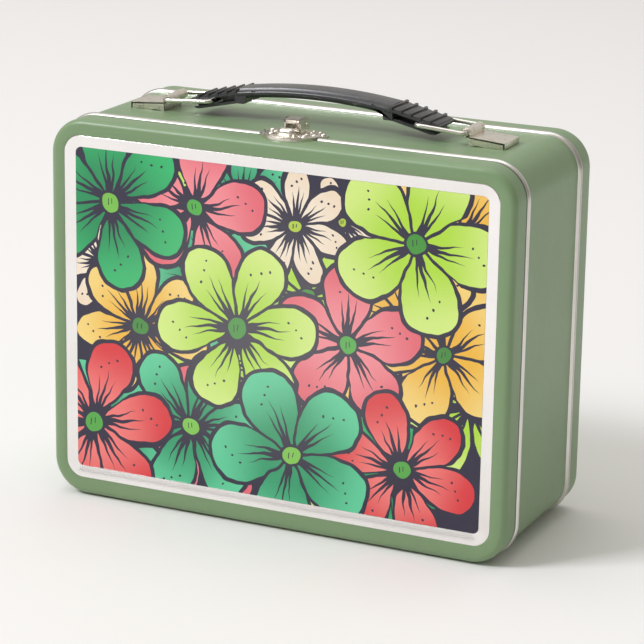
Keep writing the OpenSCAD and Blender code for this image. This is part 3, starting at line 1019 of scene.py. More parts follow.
@dataclass
class Latch:
    """The latch: lobed base and boxed strap on the case, and the boat-shaped catch on the lid."""

    sizes: CaseSizes
    base_t: float = 0.8 * MM
    strap_t: float = 0.7 * MM
    lobe_r: float = 2.4 * MM
    boss_r: float = 1.35 * MM
    boss_h: float = 1.0 * MM
    lobe_in: float = 2.6 * MM
    lobe_reach: float = 4.6 * MM
    lobe_swell: float = 0.75 * MM
    ear_r: float = 1.3 * MM
    ear_half: float = 2.4 * MM
    strap_r: float = 3.4 * MM
    lip_t: float = 1.0 * MM
    barrel_r: float = 2.1 * MM
    barrel_half: float = 1.7 * MM
    rim_h: float = 0.8 * MM
    dish_depth: float = 0.7 * MM
    scallop_h: float = 0.22 * MM

    def __post_init__(self) -> None:
        """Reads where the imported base, strap, pin and catch lie."""
        lo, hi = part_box("latch_base")
        self.base_y = (lo.y + hi.y) / 2
        self.base_half = hi.x
        lo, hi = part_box("latch_pin")
        self.pin = ((lo.y + hi.y) / 2, (lo.z + hi.z) / 2)
        lo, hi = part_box("latch_strap")
        self.strap_half, self.strap_front = hi.x, lo.y
        self.strap_top = hi.z
        lo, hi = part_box("latch_catch")
        self.lip_half, self.lip_front = hi.x, lo.y
        self.barrel_z = hi.z - self.barrel_r
        lo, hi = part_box("latch_catch_rivets")
        self.barrel_y = (lo.y + hi.y) / 2 - 1 * MM

    def base(self) -> Shell:
        """Makes the base plate with scalloped ends.

        Each end is three lobes, whose radius about the end point swells with the cosine of four
        times the angle. The ends are joined by straight sides.

        Returns:
            The base plate.
        """
        foot = self.sizes.band_top
        end = self.base_half - self.lobe_r - self.lobe_in
        angle = np.linspace(-90, 90, 37)
        swell = self.lobe_reach + self.lobe_swell * np.cos(np.radians(angle * 4))
        along, aside = np.cos(np.radians(angle)), np.sin(np.radians(angle))
        right = np.stack([end + swell * along, 1.02 * swell * aside], axis=-1)
        outline = np.concatenate([right, -right])
        rows = []
        for pull, z in ((0.0, foot), (0.0, foot + 0.5 * MM), (0.25 * MM, foot + self.base_t)):
            size = np.linalg.norm(outline, axis=1, keepdims=True)
            flat = outline * (1 - pull / size)
            rows.append(np.column_stack([flat[:, 0], flat[:, 1] + self.base_y, np.full(len(flat), z)]))
        shell = Shell()
        shell.grid(np.stack(rows), wrap=(False, True), caps=(True, True))
        top = foot + self.base_t - 0.1 * MM
        bosses = [(end, 3.1 * MM), (end, -3.1 * MM), (end + 3.0 * MM, 0.0)]
        bosses += [(end - 3.4 * MM, 3.7 * MM), (end - 3.4 * MM, -3.7 * MM)]
        for side in (-1, 1):
            for x, y in bosses:
                boss = dome((side * x, self.base_y + y, top), self.boss_r, self.boss_h)
                shell.grid(boss, wrap=(False, True), caps=(True, False))
        py, pz = self.pin
        a = np.radians(np.linspace(0, 180, 13))
        ear_y = np.concatenate([[py + self.ear_r], py + self.ear_r * np.cos(a), [py - self.ear_r]])
        ear_z = np.concatenate([[foot], pz + self.ear_r * np.sin(a), [foot]])
        ears = self.slab(np.column_stack([ear_y, ear_z]), (-self.ear_half, self.ear_half))
        shell.grid(ears, wrap=(False, True), caps=(True, True))
        return shell

    def slab(self, outline: Array, x: Sequence[float]) -> Array:
        """Carries an outline of y and z along X.

        Args:
            outline: y and z of each point.
            x: where the rows stand.

        Returns:
            A grid of points whose columns close on themselves.
        """
        return np.stack([np.column_stack([np.full(len(outline), at), outline]) for at in x])

    def strap(self) -> Shell:
        """Makes the strap, bent from one sheet: two cheeks, a top with a short front flange, and a low bar.

        A cheek's outer row is drawn in towards its middle, which rounds its edge.

        Returns:
            The strap.
        """
        t, hw, front = self.strap_t, self.strap_half, self.strap_front
        py, pz = self.pin
        top, soft = self.strap_top, 0.12 * MM
        nose = [[front + 0.7 * MM, pz - 2.8 * MM], [front, pz - 2.1 * MM]]
        nose += [[front, top - 0.3 * MM], [front + 0.3 * MM, top]]
        cheek = np.concatenate([np.array(nose), arc(py, pz, self.strap_r, 90, -90, 14)])
        away = cheek - cheek.mean(axis=0)
        drawn_in = cheek - soft * away / np.linalg.norm(away, axis=1, keepdims=True)
        shell = Shell()
        for side in (-1, 1):
            rows = ((hw, drawn_in), (hw - soft, cheek), (hw - t, cheek))
            grid = np.concatenate([self.slab(flat, [side * x]) for x, flat in rows])
            shell.grid(grid, wrap=(False, True), caps=(True, True))
        for y1, z0, z1 in (
            (py, top - t, top),
            (front + t, top - 2.1 * MM, top),
            (front + t, pz - 1.7 * MM, pz - 0.7 * MM),
        ):
            outline = soft_polygon([[front, z0], [y1, z0], [y1, z1], [front, z1]], 0.2 * MM, 2)
            bar = self.slab(outline, (-hw + 0.05 * MM, hw - 0.05 * MM))
            shell.grid(bar, wrap=(False, True), caps=(True, True))
        return shell

    def pin_and_heads(self) -> Shell:
        """Makes the strap's pin with a low domed head at each end.

        Returns:
            The pin.
        """
        py, pz = self.pin
        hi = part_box("latch_pin")[1]
        a = np.linspace(0, 2 * np.pi, 24, endpoint=False)
        half, cheek, crown = hi.x, self.strap_half, 0.15 * MM
        x = np.array([-half, -half + crown, -cheek, -cheek, cheek, cheek, half - crown, half])
        r = np.array([0.6, 1.0, 1.15, 0.6, 0.6, 1.15, 1.0, 0.6])[:, None] * MM
        across = np.broadcast_to(x[:, None], (len(x), len(a)))
        grid = np.stack([across, py + r * np.cos(a), pz + r * np.sin(a)], axis=-1)
        shell = Shell()
        shell.grid(grid, wrap=(False, True), caps=(True, True))
        return shell

    def catch(self) -> Shell:
        """Makes the catch: a boat-shaped lip with a raised rim, a rolled barrel with round ends and a tongue.

        The lip is a grid of share across and share forwards. Its half width follows a circle's arc,
        and its height is a shallow dish plus a narrow raised rim plus scallops along the rear edge.

        Returns:
            The catch.
        """
        s = self.sizes
        top, rear = s.top, -(s.seam - s.bead_r) - 0.2 * MM
        across = np.linspace(-1, 1, 49)[None, :]
        forward = np.linspace(0, 1, 21)[:, None]
        radius = self.lip_half
        depth = rear - self.lip_front
        past = np.clip(forward * depth - (depth - radius), 0, None) / radius
        half = radius * np.sqrt(np.clip(1 - past**2, 0.0012, 1))
        edge = np.maximum(np.abs(across) + 0 * forward, forward + 0 * across)
        x = across * half
        y = rear - forward * depth + 0 * across
        rim = np.exp(-(((edge - 0.94) / 0.06) ** 2)) * self.rim_h
        dish = -self.dish_depth * np.clip(1 - across**2, 0, 1) * np.exp(-(((forward - 0.62) / 0.24) ** 2))
        beside = (np.abs(across) > 0.35) * np.exp(-(((forward - 0.1) / 0.12) ** 2))
        scallop = self.scallop_h * np.cos(across * 9 * np.pi) * beside
        z = top + self.lip_t + rim + dish + scallop
        skin = np.stack([x, y, z], axis=-1)
        under = skin.copy()
        under[..., 2] = top
        shell = Shell()
        shell.grid(skin)
        shell.grid(under[:, ::-1])
        shell.grid(np.stack([rim_of(skin), rim_of(under)]), wrap=(False, True))
        a = np.linspace(0, 2 * np.pi, 28, endpoint=False)
        b = np.radians(np.linspace(-90, 90, 13))
        ends = self.barrel_r * np.concatenate([np.sin(b[:7]), np.sin(b[6:])])
        ends += np.repeat([-self.barrel_half, self.barrel_half], 7)
        thick = self.barrel_r * np.concatenate([np.cos(b[:7]), np.cos(b[6:])])
        thick = np.maximum(thick, 0.02 * MM)
        barrel = np.stack(
            [
                np.broadcast_to(ends[:, None], (len(ends), 28)),
                self.barrel_y + thick[:, None] * np.cos(a),
                self.barrel_z + thick[:, None] * np.sin(a),
            ],
            axis=-1,
        )
        shell.grid(barrel, wrap=(False, True), caps=(True, True))
        for y0, y1, z0, z1, hx in (
            (self.barrel_y - 1.2 * MM, self.barrel_y + 1.2 * MM, top + 0.2 * MM, self.barrel_z, 4 * MM),
            (self.barrel_y, self.barrel_y + 6.1 * MM, top + 0.7 * MM, top + 1.4 * MM, 2.6 * MM),
        ):
            outline = soft_polygon([[y0, z0], [y1, z0], [y1, z1], [y0, z1]], 0.15 * MM, 2)
            shell.grid(self.slab(outline, (-hx, hx)), wrap=(False, True), caps=(True, True))
        return shell

    def make(self, finishes: "Finishes") -> None:
        """Builds and dresses the latch's plate, strap, pin and catch.

        Args:
            finishes: the materials.
        """
        plated = finishes.nickel
        dressed(self.base().build("latch_plate"), plated, "nickel", "case", "latch_base")
        dressed(self.strap().build("latch_box"), plated, "nickel", "latch", "latch_strap")
        dressed(self.pin_and_heads().build("latch_axle"), plated, "nickel", "case", "latch_pin")
        dressed(self.catch().build("latch_lip"), plated, "nickel", "lid", "latch_catch")


# ---- node trees -----------------------------------------------------------------------------


@dataclass(frozen=True)
class Value:
    """A number inside a node tree. Sums, products and functions of it add the nodes they need."""

    tree: bpy.types.NodeTree
    socket: bpy.types.NodeSocket

    def maths(self, operation: str, *others: "Value | float") -> "Value":
        """Adds a Math node.

        Args:
            operation: the node's operation.
            others: its second and third inputs.

        Returns:
            The result.
        """
        node = self.tree.nodes.new("ShaderNodeMath")
        node.operation = operation
        self.tree.links.new(self.socket, node.inputs[0])
        for k, other in enumerate(others, 1):
            if isinstance(other, Value):
                self.tree.links.new(other.socket, node.inputs[k])
            else:
                node.inputs[k].default_value = other
        return Value(self.tree, node.outputs[0])

    def __add__(self, other: "Value | float") -> "Value":
        """Sum.

        Args:
            other: the number added.

        Returns:
            The sum.
        """
        return self.maths("ADD", other)

    def __sub__(self, other: "Value | float") -> "Value":
        """Difference.

        Args:
            other: the number taken away.

        Returns:
            The difference.
        """
        return self.maths("SUBTRACT", other)

    def __mul__(self, other: "Value | float") -> "Value":
        """Product.

        Args:
            other: the factor.

        Returns:
            The product.
        """
        return self.maths("MULTIPLY", other)

    def __truediv__(self, other: "Value | float") -> "Value":
        """Quotient.

        Args:
            other: the divisor.

        Returns:
            The quotient.
        """
        return self.maths("DIVIDE", other)

    def step(self, start: float, end: float) -> "Value":
        """A smooth rise from 0 to 1 as the number goes from start to end.

        Args:
            start: where the rise starts.
            end: where it ends; less than the start for a fall.

        Returns:
            The share from 0 to 1.
        """
        node = self.tree.nodes.new("ShaderNodeMapRange")
        node.interpolation_type, node.clamp = "SMOOTHSTEP", False
        self.tree.links.new(self.socket, node.inputs["Value"])
        node.inputs["From Min"].default_value, node.inputs["From Max"].default_value = start, end
        return Value(self.tree, node.outputs["Result"])


@dataclass
class Group:
    """A shader node group with named inputs and outputs, built once."""

    name: str
    inputs: dict[str, tuple[str, object]]
    outputs: dict[str, str]

    def __post_init__(self) -> None:
        """Makes the empty group and its sockets."""
        self.tree = bpy.data.node_groups.new(self.name, "ShaderNodeTree")
        for name, (kind, value) in self.inputs.items():
            socket = self.tree.interface.new_socket(name, in_out="INPUT", socket_type=kind)
            if value is not None:
                socket.default_value = value
        for name, kind in self.outputs.items():
            self.tree.interface.new_socket(name, in_out="OUTPUT", socket_type=kind)
        self.start = self.tree.nodes.new("NodeGroupInput")
        self.end = self.tree.nodes.new("NodeGroupOutput")

    def value(self, name: str) -> Value:
        """A number that comes in.

        Args:
            name: the input's name.

        Returns:
            The number.
        """
        return Value(self.tree, self.start.outputs[name])

    def give(self, name: str, socket: bpy.types.NodeSocket) -> None:
        """Sends a socket out under that name.

        Args:
            name: the output's name.
            socket: what is sent.
        """
        self.tree.links.new(socket, self.end.inputs[name])


def noise(
    tree: bpy.types.NodeTree,
    place: bpy.types.NodeSocket,
    scale: float | Value,
    detail: float = 3.0,
    rough: float = 0.5,
) -> bpy.types.Node:
    """Adds a Noise Texture read at a place, with its result in Fac and Color.

    Args:
        tree: the node tree.
        place: where the noise is read.
        scale: its scale.
        detail: its octaves.
        rough: how strong the finer octaves are.

    Returns:
        The noise node.
    """
    node = tree.nodes.new("ShaderNodeTexNoise")
    tree.links.new(place, node.inputs["Vector"])
    if isinstance(scale, Value):
        tree.links.new(scale.socket, node.inputs["Scale"])
    else:
        node.inputs["Scale"].default_value = scale
    node.inputs["Detail"].default_value = detail
    node.inputs["Roughness"].default_value = rough
    return node


def mixed(
    tree: bpy.types.NodeTree, share: Value | float, first: object, second: object, mode: str = "MIX"
) -> bpy.types.NodeSocket:
    """Adds a colour Mix node.

    Args:
        tree: the node tree.
        share: how much of the second colour.
        first: a colour or a socket.
        second: a colour or a socket.
        mode: the blend type.

    Returns:
        The mixed colour's socket.
    """
    node = tree.nodes.new("ShaderNodeMix")
    node.data_type, node.blend_type = "RGBA", mode
    if isinstance(share, Value):
        tree.links.new(share.socket, node.inputs[0])
    else:
        node.inputs[0].default_value = share
    for k, colour in ((6, first), (7, second)):
        if isinstance(colour, bpy.types.NodeSocket):
            tree.links.new(colour, node.inputs[k])
        else:
            node.inputs[k].default_value = colour
    return node.outputs[2]


def stretched(
    tree: bpy.types.NodeTree, place: bpy.types.NodeSocket, scale: Sequence[float]
) -> bpy.types.NodeSocket:
    """Adds a Mapping node that stretches a pattern.

    Args:
        tree: the node tree.
        place: where the pattern is read.
        scale: the stretch along each axis.

    Returns:
        The stretched place.
    """
    node = tree.nodes.new("ShaderNodeMapping")
    tree.links.new(place, node.inputs["Vector"])
    node.inputs["Scale"].default_value = scale
    return node.outputs["Vector"]


VECTOR, FLOAT, COLOUR = "NodeSocketVector", "NodeSocketFloat", "NodeSocketColor"
SHADED: Colour = (0.45, 0.45, 0.45, 1.0)
DUST: Colour = (0.62, 0.60, 0.56, 1.0)


def mottle_group() -> Group:
    """Uneven colour and gloss of a coat or a plating.

    Slow and fine noise darken the colour and vary the gloss. The height is a mix of an orange
    peel and the fine noise.

    Returns:
        The group.
    """
    g = Group(
        "mottle",
        {
            "Place": (VECTOR, None), "Colour": (COLOUR, None), "Depth": (FLOAT, 0.1),
            "Gloss": (FLOAT, 0.3), "Spread": (FLOAT, 0.1), "Peel": (FLOAT, 900.0),
        },
        {"Colour": COLOUR, "Roughness": FLOAT, "Height": FLOAT},
    )
    place = g.start.outputs["Place"]
    slow = Value(g.tree, noise(g.tree, place, 22.0, 4.0, 0.6).outputs["Fac"])
    fine = Value(g.tree, noise(g.tree, place, 260.0, 3.0, 0.6).outputs["Fac"])
    peel = Value(g.tree, noise(g.tree, place, g.value("Peel"), 2.0, 0.5).outputs["Fac"])
    shade = (slow.step(0.3, 0.7) * 0.7 + fine.step(0.25, 0.75) * 0.3) * g.value("Depth")
    darker = mixed(g.tree, shade, g.start.outputs["Colour"], SHADED, "MULTIPLY")
    g.give("Colour", darker)
    rough = g.value("Gloss") + (fine - 0.5) * g.value("Spread") + (slow - 0.5) * g.value("Spread")
    g.give("Roughness", rough.maths("MAXIMUM", 0.05).socket)
    g.give("Height", (peel * 0.7 + fine * 0.3).socket)
    return g


def dust_group() -> Group:
    """Fine dust and faint rubs: a pale veil on what faces up, with sparse specks.

    Returns:
        The group.
    """
    g = Group(
        "dust",
        {"Place": (VECTOR, None), "Colour": (COLOUR, None), "Veil": (FLOAT, 0.1), "Specks": (FLOAT, 0.3)},
        {"Colour": COLOUR, "Mask": FLOAT},
    )
    place = g.start.outputs["Place"]
    geometry = g.tree.nodes.new("ShaderNodeNewGeometry")
    split = g.tree.nodes.new("ShaderNodeSeparateXYZ")
    g.tree.links.new(geometry.outputs["Normal"], split.inputs[0])
    up = Value(g.tree, split.outputs["Z"]).step(0.1, 1.0)
    cloud = Value(g.tree, noise(g.tree, place, 60.0, 5.0, 0.7).outputs["Fac"]).step(0.35, 0.8)
    cells = g.tree.nodes.new("ShaderNodeTexVoronoi")
    g.tree.links.new(place, cells.inputs["Vector"])
    cells.inputs["Scale"].default_value = 420.0
    speck = Value(g.tree, cells.outputs["Distance"]).maths("LESS_THAN", 0.09)
    rare = Value(g.tree, noise(g.tree, place, 90.0, 1.0).outputs["Fac"]).step(0.56, 0.66)
    mask = (up * cloud * g.value("Veil") + speck * rare * g.value("Specks")).maths("MINIMUM", 1.0)
    g.give("Colour", mixed(g.tree, mask, g.start.outputs["Colour"], DUST))
    g.give("Mask", mask.socket)
    return g


def brush_group() -> Group:
    """Fine parallel drawing lines in bare metal: noise that the scales in Stretch draw out.

    Returns:
        The group.
    """
    g = Group(
        "drawn_lines",
        {
            "Place": (VECTOR, None), "Stretch": (VECTOR, (1.0, 1.0, 1.0)),
            "Gloss": (FLOAT, 0.25), "Spread": (FLOAT, 0.2),
        },
        {"Lines": FLOAT, "Roughness": FLOAT},
    )
    node = g.tree.nodes.new("ShaderNodeVectorMath")
    node.operation = "MULTIPLY"
    g.tree.links.new(g.start.outputs["Place"], node.inputs[0])
    g.tree.links.new(g.start.outputs["Stretch"], node.inputs[1])
    lines = Value(g.tree, noise(g.tree, node.outputs[0], 1.0, 3.0, 0.6).outputs["Fac"])
    g.give("Lines", lines.socket)
    g.give("Roughness", (g.value("Gloss") + (lines - 0.5) * g.value("Spread")).maths("MAXIMUM", 0.04).socket)
    return g


def shade_line_group() -> Group:
    """Painted shade in the crevice beside a bead: a thin dark line at a distance from the middle plane.

    Returns:
        The group.
    """
    g = Group(
        "painted_shade_line",
        {"Place": (VECTOR, None), "Distance": (FLOAT, 0.03), "Width": (FLOAT, 0.0003)},
        {"Mask": FLOAT},
    )
    split = g.tree.nodes.new("ShaderNodeSeparateXYZ")
    g.tree.links.new(g.start.outputs["Place"], split.inputs[0])
    away = (Value(g.tree, split.outputs["Y"]).maths("ABSOLUTE") - g.value("Distance")).maths("ABSOLUTE")
    near = (away / g.value("Width")).step(1.0, 0.25)
    g.give("Mask", near.socket)
    return g


@dataclass
class Kit:
    """The node groups that the finishes share."""

    mottle: Group = field(default_factory=mottle_group)
    dust: Group = field(default_factory=dust_group)
    brush: Group = field(default_factory=brush_group)
    # Mask of the painted shadow line beside the beads.
    joint: Group = field(default_factory=shade_line_group)


class Material:
    """A material under construction: its tree, its shader and its place coordinates."""

    def __init__(self, name: str, kit: Kit) -> None:
        """Makes the material with a Principled shader and Object coordinates.

        Args:
            name: the material's name.
            kit: the shared groups.
        """
        self.made = bpy.data.materials.new(name)
        self.made.use_nodes = True
        self.kit = kit
        self.tree = self.made.node_tree
        self.shader = self.tree.nodes["Principled BSDF"]
        self.coordinates = self.tree.nodes.new("ShaderNodeTexCoord")
        self.place = self.coordinates.outputs["Object"]
        self.strip = self.coordinates.outputs["UV"]

    def use(
        self, group: Group, place: bpy.types.NodeSocket | None = None, **inputs: object
    ) -> bpy.types.Node:
        """Places a group.

        Args:
            group: the group.
            place: where it is read, or None for Object coordinates.
            inputs: values or sockets of its inputs, by name.

        Returns:
            The group's node.
        """
        node = self.tree.nodes.new("ShaderNodeGroup")
        node.node_tree = group.tree
        self.tree.links.new(self.place if place is None else place, node.inputs["Place"])
        for name, value in inputs.items():
            if isinstance(value, Value):
                value = value.socket
            if isinstance(value, bpy.types.NodeSocket):
                self.tree.links.new(value, node.inputs[name])
            else:
                node.inputs[name].default_value = value
        return node

    def split(self) -> tuple[Value, Value, Value]:
        """x, y and z of the Object coordinates.

        Returns:
            The three numbers.
        """
        node = self.tree.nodes.new("ShaderNodeSeparateXYZ")
        self.tree.links.new(self.place, node.inputs[0])
        return tuple(Value(self.tree, node.outputs[k]) for k in range(3))

    def bump(self, height: bpy.types.NodeSocket, strength: float, distance: float) -> None:
        """Feeds a height to the shader's normal.

        Args:
            height: the height.
            strength: how strong the bump is.
            distance: depth of the bump in metres.
        """
        node = self.tree.nodes.new("ShaderNodeBump")
        node.inputs["Strength"].default_value = strength
        node.inputs["Distance"].default_value = distance
        self.tree.links.new(height, node.inputs["Height"])
        self.tree.links.new(node.outputs["Normal"], self.shader.inputs["Normal"])

    def feed(self, name: str, socket: bpy.types.NodeSocket) -> None:
        """Links a socket to one of the shader's inputs.

        Args:
            name: the input's name.
            socket: what is linked to it.
        """
        self.tree.links.new(socket, self.shader.inputs[name])

    def set(self, **constants: float) -> None:
        """Sets constants on the shader's own sockets; an underscore stands for a space.

        Args:
            constants: values by name.
        """
        for name, value in constants.items():
            self.shader.inputs[name.replace("_", " ")].default_value = value


# ---- finishes -------------------------------------------------------------------------------


@dataclass(frozen=True)
class SatinEnamel:
    """Sage green satin enamel on sheet, with a thin painted shadow line beside each bead."""

    colour: Colour = paint("7f9b72")
    # Colour and width of the painted shadow line on the enamel beside each bead.
    joint: Colour = (0.02, 0.025, 0.018, 1.0)
    shade_line_w: float = 1.05 * MM
    gloss: float = 0.40
    depth: float = 0.10

    def make(self, kit: Kit, seam: float) -> bpy.types.Material:
        """Makes the enamel.

        Args:
            kit: the shared groups.
            seam: distance of the painted shadow lines beside the beads from the middle plane.

        Returns:
            The material.
        """
        m = Material("satin_enamel", kit)
        coat = m.use(
            kit.mottle, Colour=self.colour, Depth=self.depth, Gloss=self.gloss, Spread=0.08, Peel=1500.0
        )
        dusty = m.use(kit.dust, Colour=coat.outputs["Colour"], Veil=0.05, Specks=0.16)
        # Painted shadow: a thin dark line on the enamel beside each bead, where the crevice at the bead is in
        # shade.
        line = m.use(kit.joint, Distance=seam, Width=self.shade_line_w)
        shade = Value(m.tree, line.outputs["Mask"]) * 0.9
        m.feed("Base Color", mixed(m.tree, shade, dusty.outputs["Colour"], self.joint))
        m.feed("Roughness", coat.outputs["Roughness"])
        m.bump(coat.outputs["Height"], 0.12, 0.00005)
        m.set(Coat_Weight=0.12, Coat_Roughness=0.22, Specular_IOR_Level=0.45)
        return m.made


@dataclass(frozen=True)
class RolledSteel:
    """Bright rolled steel of the rim beads, with drawing lines along the bead and a painted dark reflection
    band along its crown.
    """

    colour: Colour = paint("eceae4")
    # Grey of the drawing lines and of the painted reflection band.
    dull: Colour = paint("8f8a82")
    gloss: float = 0.30
    # Where the painted reflection band lies across the bead's section.
    reflection_band_at: float = 2.2 * MM

    def make(self, kit: Kit) -> bpy.types.Material:
        """Makes the steel; the lines follow the bead's own strip coordinates.

        Args:
            kit: the shared groups.

        Returns:
            The material.
        """
        m = Material("rolled_steel", kit)
        lines = m.use(kit.brush, m.strip, Stretch=(35.0, 5200.0, 1.0), Gloss=self.gloss, Spread=0.22)
        shade = Value(m.tree, lines.outputs["Lines"]).step(0.35, 0.75) * 0.35
        tone = mixed(m.tree, shade, self.colour, self.dull)
        # Painted reflection: a dull grey band is mixed in along the bead near its crown.
        across = m.tree.nodes.new("ShaderNodeSeparateXYZ")
        m.tree.links.new(m.strip, across.inputs[0])
        away = (Value(m.tree, across.outputs["Y"]) - self.reflection_band_at).maths("ABSOLUTE")
        tone = mixed(m.tree, away.step(0.55 * MM, 0.15 * MM) * 0.55, tone, self.dull)
        worn = m.use(kit.mottle, Colour=tone, Depth=0.16, Gloss=self.gloss, Spread=0.1, Peel=700.0)
        m.feed("Base Color", worn.outputs["Colour"])
        m.feed("Roughness", lines.outputs["Roughness"])
        m.bump(lines.outputs["Lines"], 0.15, 0.00004)
        m.set(Metallic=0.9)
        return m.made


@dataclass(frozen=True)
class BareTin:
    """Bare tinplate of the sloping border, softly drawn and slightly grainy."""

    colour: Colour = paint("f3f1ef")
    gloss: float = 0.13

    def make(self, kit: Kit) -> bpy.types.Material:
        """Makes the tinplate.

        Args:
            kit: the shared groups.

        Returns:
            The material.
        """
        m = Material("bare_tin", kit)
        grain = m.use(kit.brush, Stretch=(900.0, 900.0, 2600.0), Gloss=self.gloss, Spread=0.16)
        coat = m.use(kit.mottle, Colour=self.colour, Depth=0.12, Gloss=self.gloss, Spread=0.08, Peel=2400.0)
        m.feed("Base Color", coat.outputs["Colour"])
        m.feed("Roughness", grain.outputs["Roughness"])
        m.bump(grain.outputs["Lines"], 0.2, 0.00005)
        m.set(Metallic=1.0)
        return m.made


@dataclass(frozen=True)
class NickelPlate:
    """Dull warm nickel on stamped hardware, with stained patches and faint drawing lines."""

    colour: Colour = paint("efe9de")
    stain: Colour = paint("8d8273")
    gloss: float = 0.3

    def make(self, kit: Kit, name: str = "nickel_plate") -> bpy.types.Material:
        """Makes the plating.

        Args:
            kit: the shared groups.
            name: the material's name.

        Returns:
            The material.
        """
        m = Material(name, kit)
        patch = Value(m.tree, noise(m.tree, m.place, 310.0, 5.0, 0.65).outputs["Fac"]).step(0.5, 0.74) * 0.45
        tone = mixed(m.tree, patch, self.colour, self.stain)
        coat = m.use(kit.mottle, Colour=tone, Depth=0.16, Gloss=self.gloss, Spread=0.24, Peel=1300.0)
        lines = m.use(kit.brush, Stretch=(260.0, 2600.0, 2600.0), Gloss=self.gloss, Spread=0.2)
        m.feed("Base Color", coat.outputs["Colour"])
        m.feed("Roughness", coat.outputs["Roughness"])
        height = Value(m.tree, coat.outputs["Height"]) + Value(m.tree, lines.outputs["Lines"]) * 0.6
        m.bump(height.socket, 0.3, 0.00012)
        m.set(Metallic=1.0)
        return m.made


@dataclass(frozen=True)
class PlatedWire:
    """Bright plated wire with faint rubs along it."""

    colour: Colour = paint("e9e6df")
    gloss: float = 0.16

    def make(self, kit: Kit) -> bpy.types.Material:
        """Makes the wire's plating; the rubs follow its strip coordinates.

        Args:
            kit: the shared groups.

        Returns:
            The material.
        """
        m = Material("plated_wire", kit)
        lines = m.use(kit.brush, m.strip, Stretch=(60.0, 3000.0, 1.0), Gloss=self.gloss, Spread=0.18)
        coat = m.use(kit.mottle, Colour=self.colour, Depth=0.22, Gloss=self.gloss, Spread=0.1, Peel=900.0)
        m.feed("Base Color", coat.outputs["Colour"])
        m.feed("Roughness", lines.outputs["Roughness"])
        m.bump(lines.outputs["Lines"], 0.12, 0.00004)
        m.set(Metallic=1.0)
        return m.made


@dataclass(frozen=True)
class Moulding:
    """Semi-gloss black moulded plastic with a fine texture, greyed by handling."""

    colour: Colour = paint("313235")
    rubbed: Colour = paint("54565a")
    gloss: float = 0.29

    def make(self, kit: Kit) -> bpy.types.Material:
        """Makes the plastic.

        Args:
            kit: the shared groups.

        Returns:
            The material.
        """
        m = Material("black_moulding", kit)
        lengthwise = stretched(m.tree, m.place, (120.0, 900.0, 900.0))
        rub = Value(m.tree, noise(m.tree, lengthwise, 1.0, 4.0, 0.6).outputs["Fac"])
        tone = mixed(m.tree, rub.step(0.5, 0.78) * 0.5, self.colour, self.rubbed)
        coat = m.use(kit.mottle, Colour=tone, Depth=0.25, Gloss=self.gloss, Spread=0.14, Peel=2600.0)
        dusty = m.use(kit.dust, Colour=coat.outputs["Colour"], Veil=0.06, Specks=0.2)
        m.feed("Base Color", dusty.outputs["Colour"])
        m.feed("Roughness", coat.outputs["Roughness"])
        m.bump(coat.outputs["Height"], 0.25, 0.00006)
        m.set(Specular_IOR_Level=0.6)
        return m.made


# ---- printed flowers ------------------------------------------------------------------------


class Bloom(Enum):
    """Colours of a printed flower: near its heart, at its petals' tips, and its heart."""

    CORAL = ("fb929b", "ee6a78", "4fb544")
    RED = ("fb7f7c", "e32f37", "55ae46")
    CREAM = ("fff2de", "fae6ca", "b9d63c")
    LIME = ("b6e63a", "dcf888", "3f9a34")
    GREEN = ("0f9257", "2cc071", "7cc64a")
    TEAL = ("22a06c", "5fd6a2", "84cf4e")
    YELLOW = ("f9c03a", "ffdf83", "3f8f34")


@dataclass(frozen=True)
class Flower:
    """One printed flower; lengths are in millimetres from the panel's middle."""

    x: float
    z: float
    reach: float
    turn: float
    petals: int
    bloom: Bloom
    seed: float


INK = paint("211c3a")


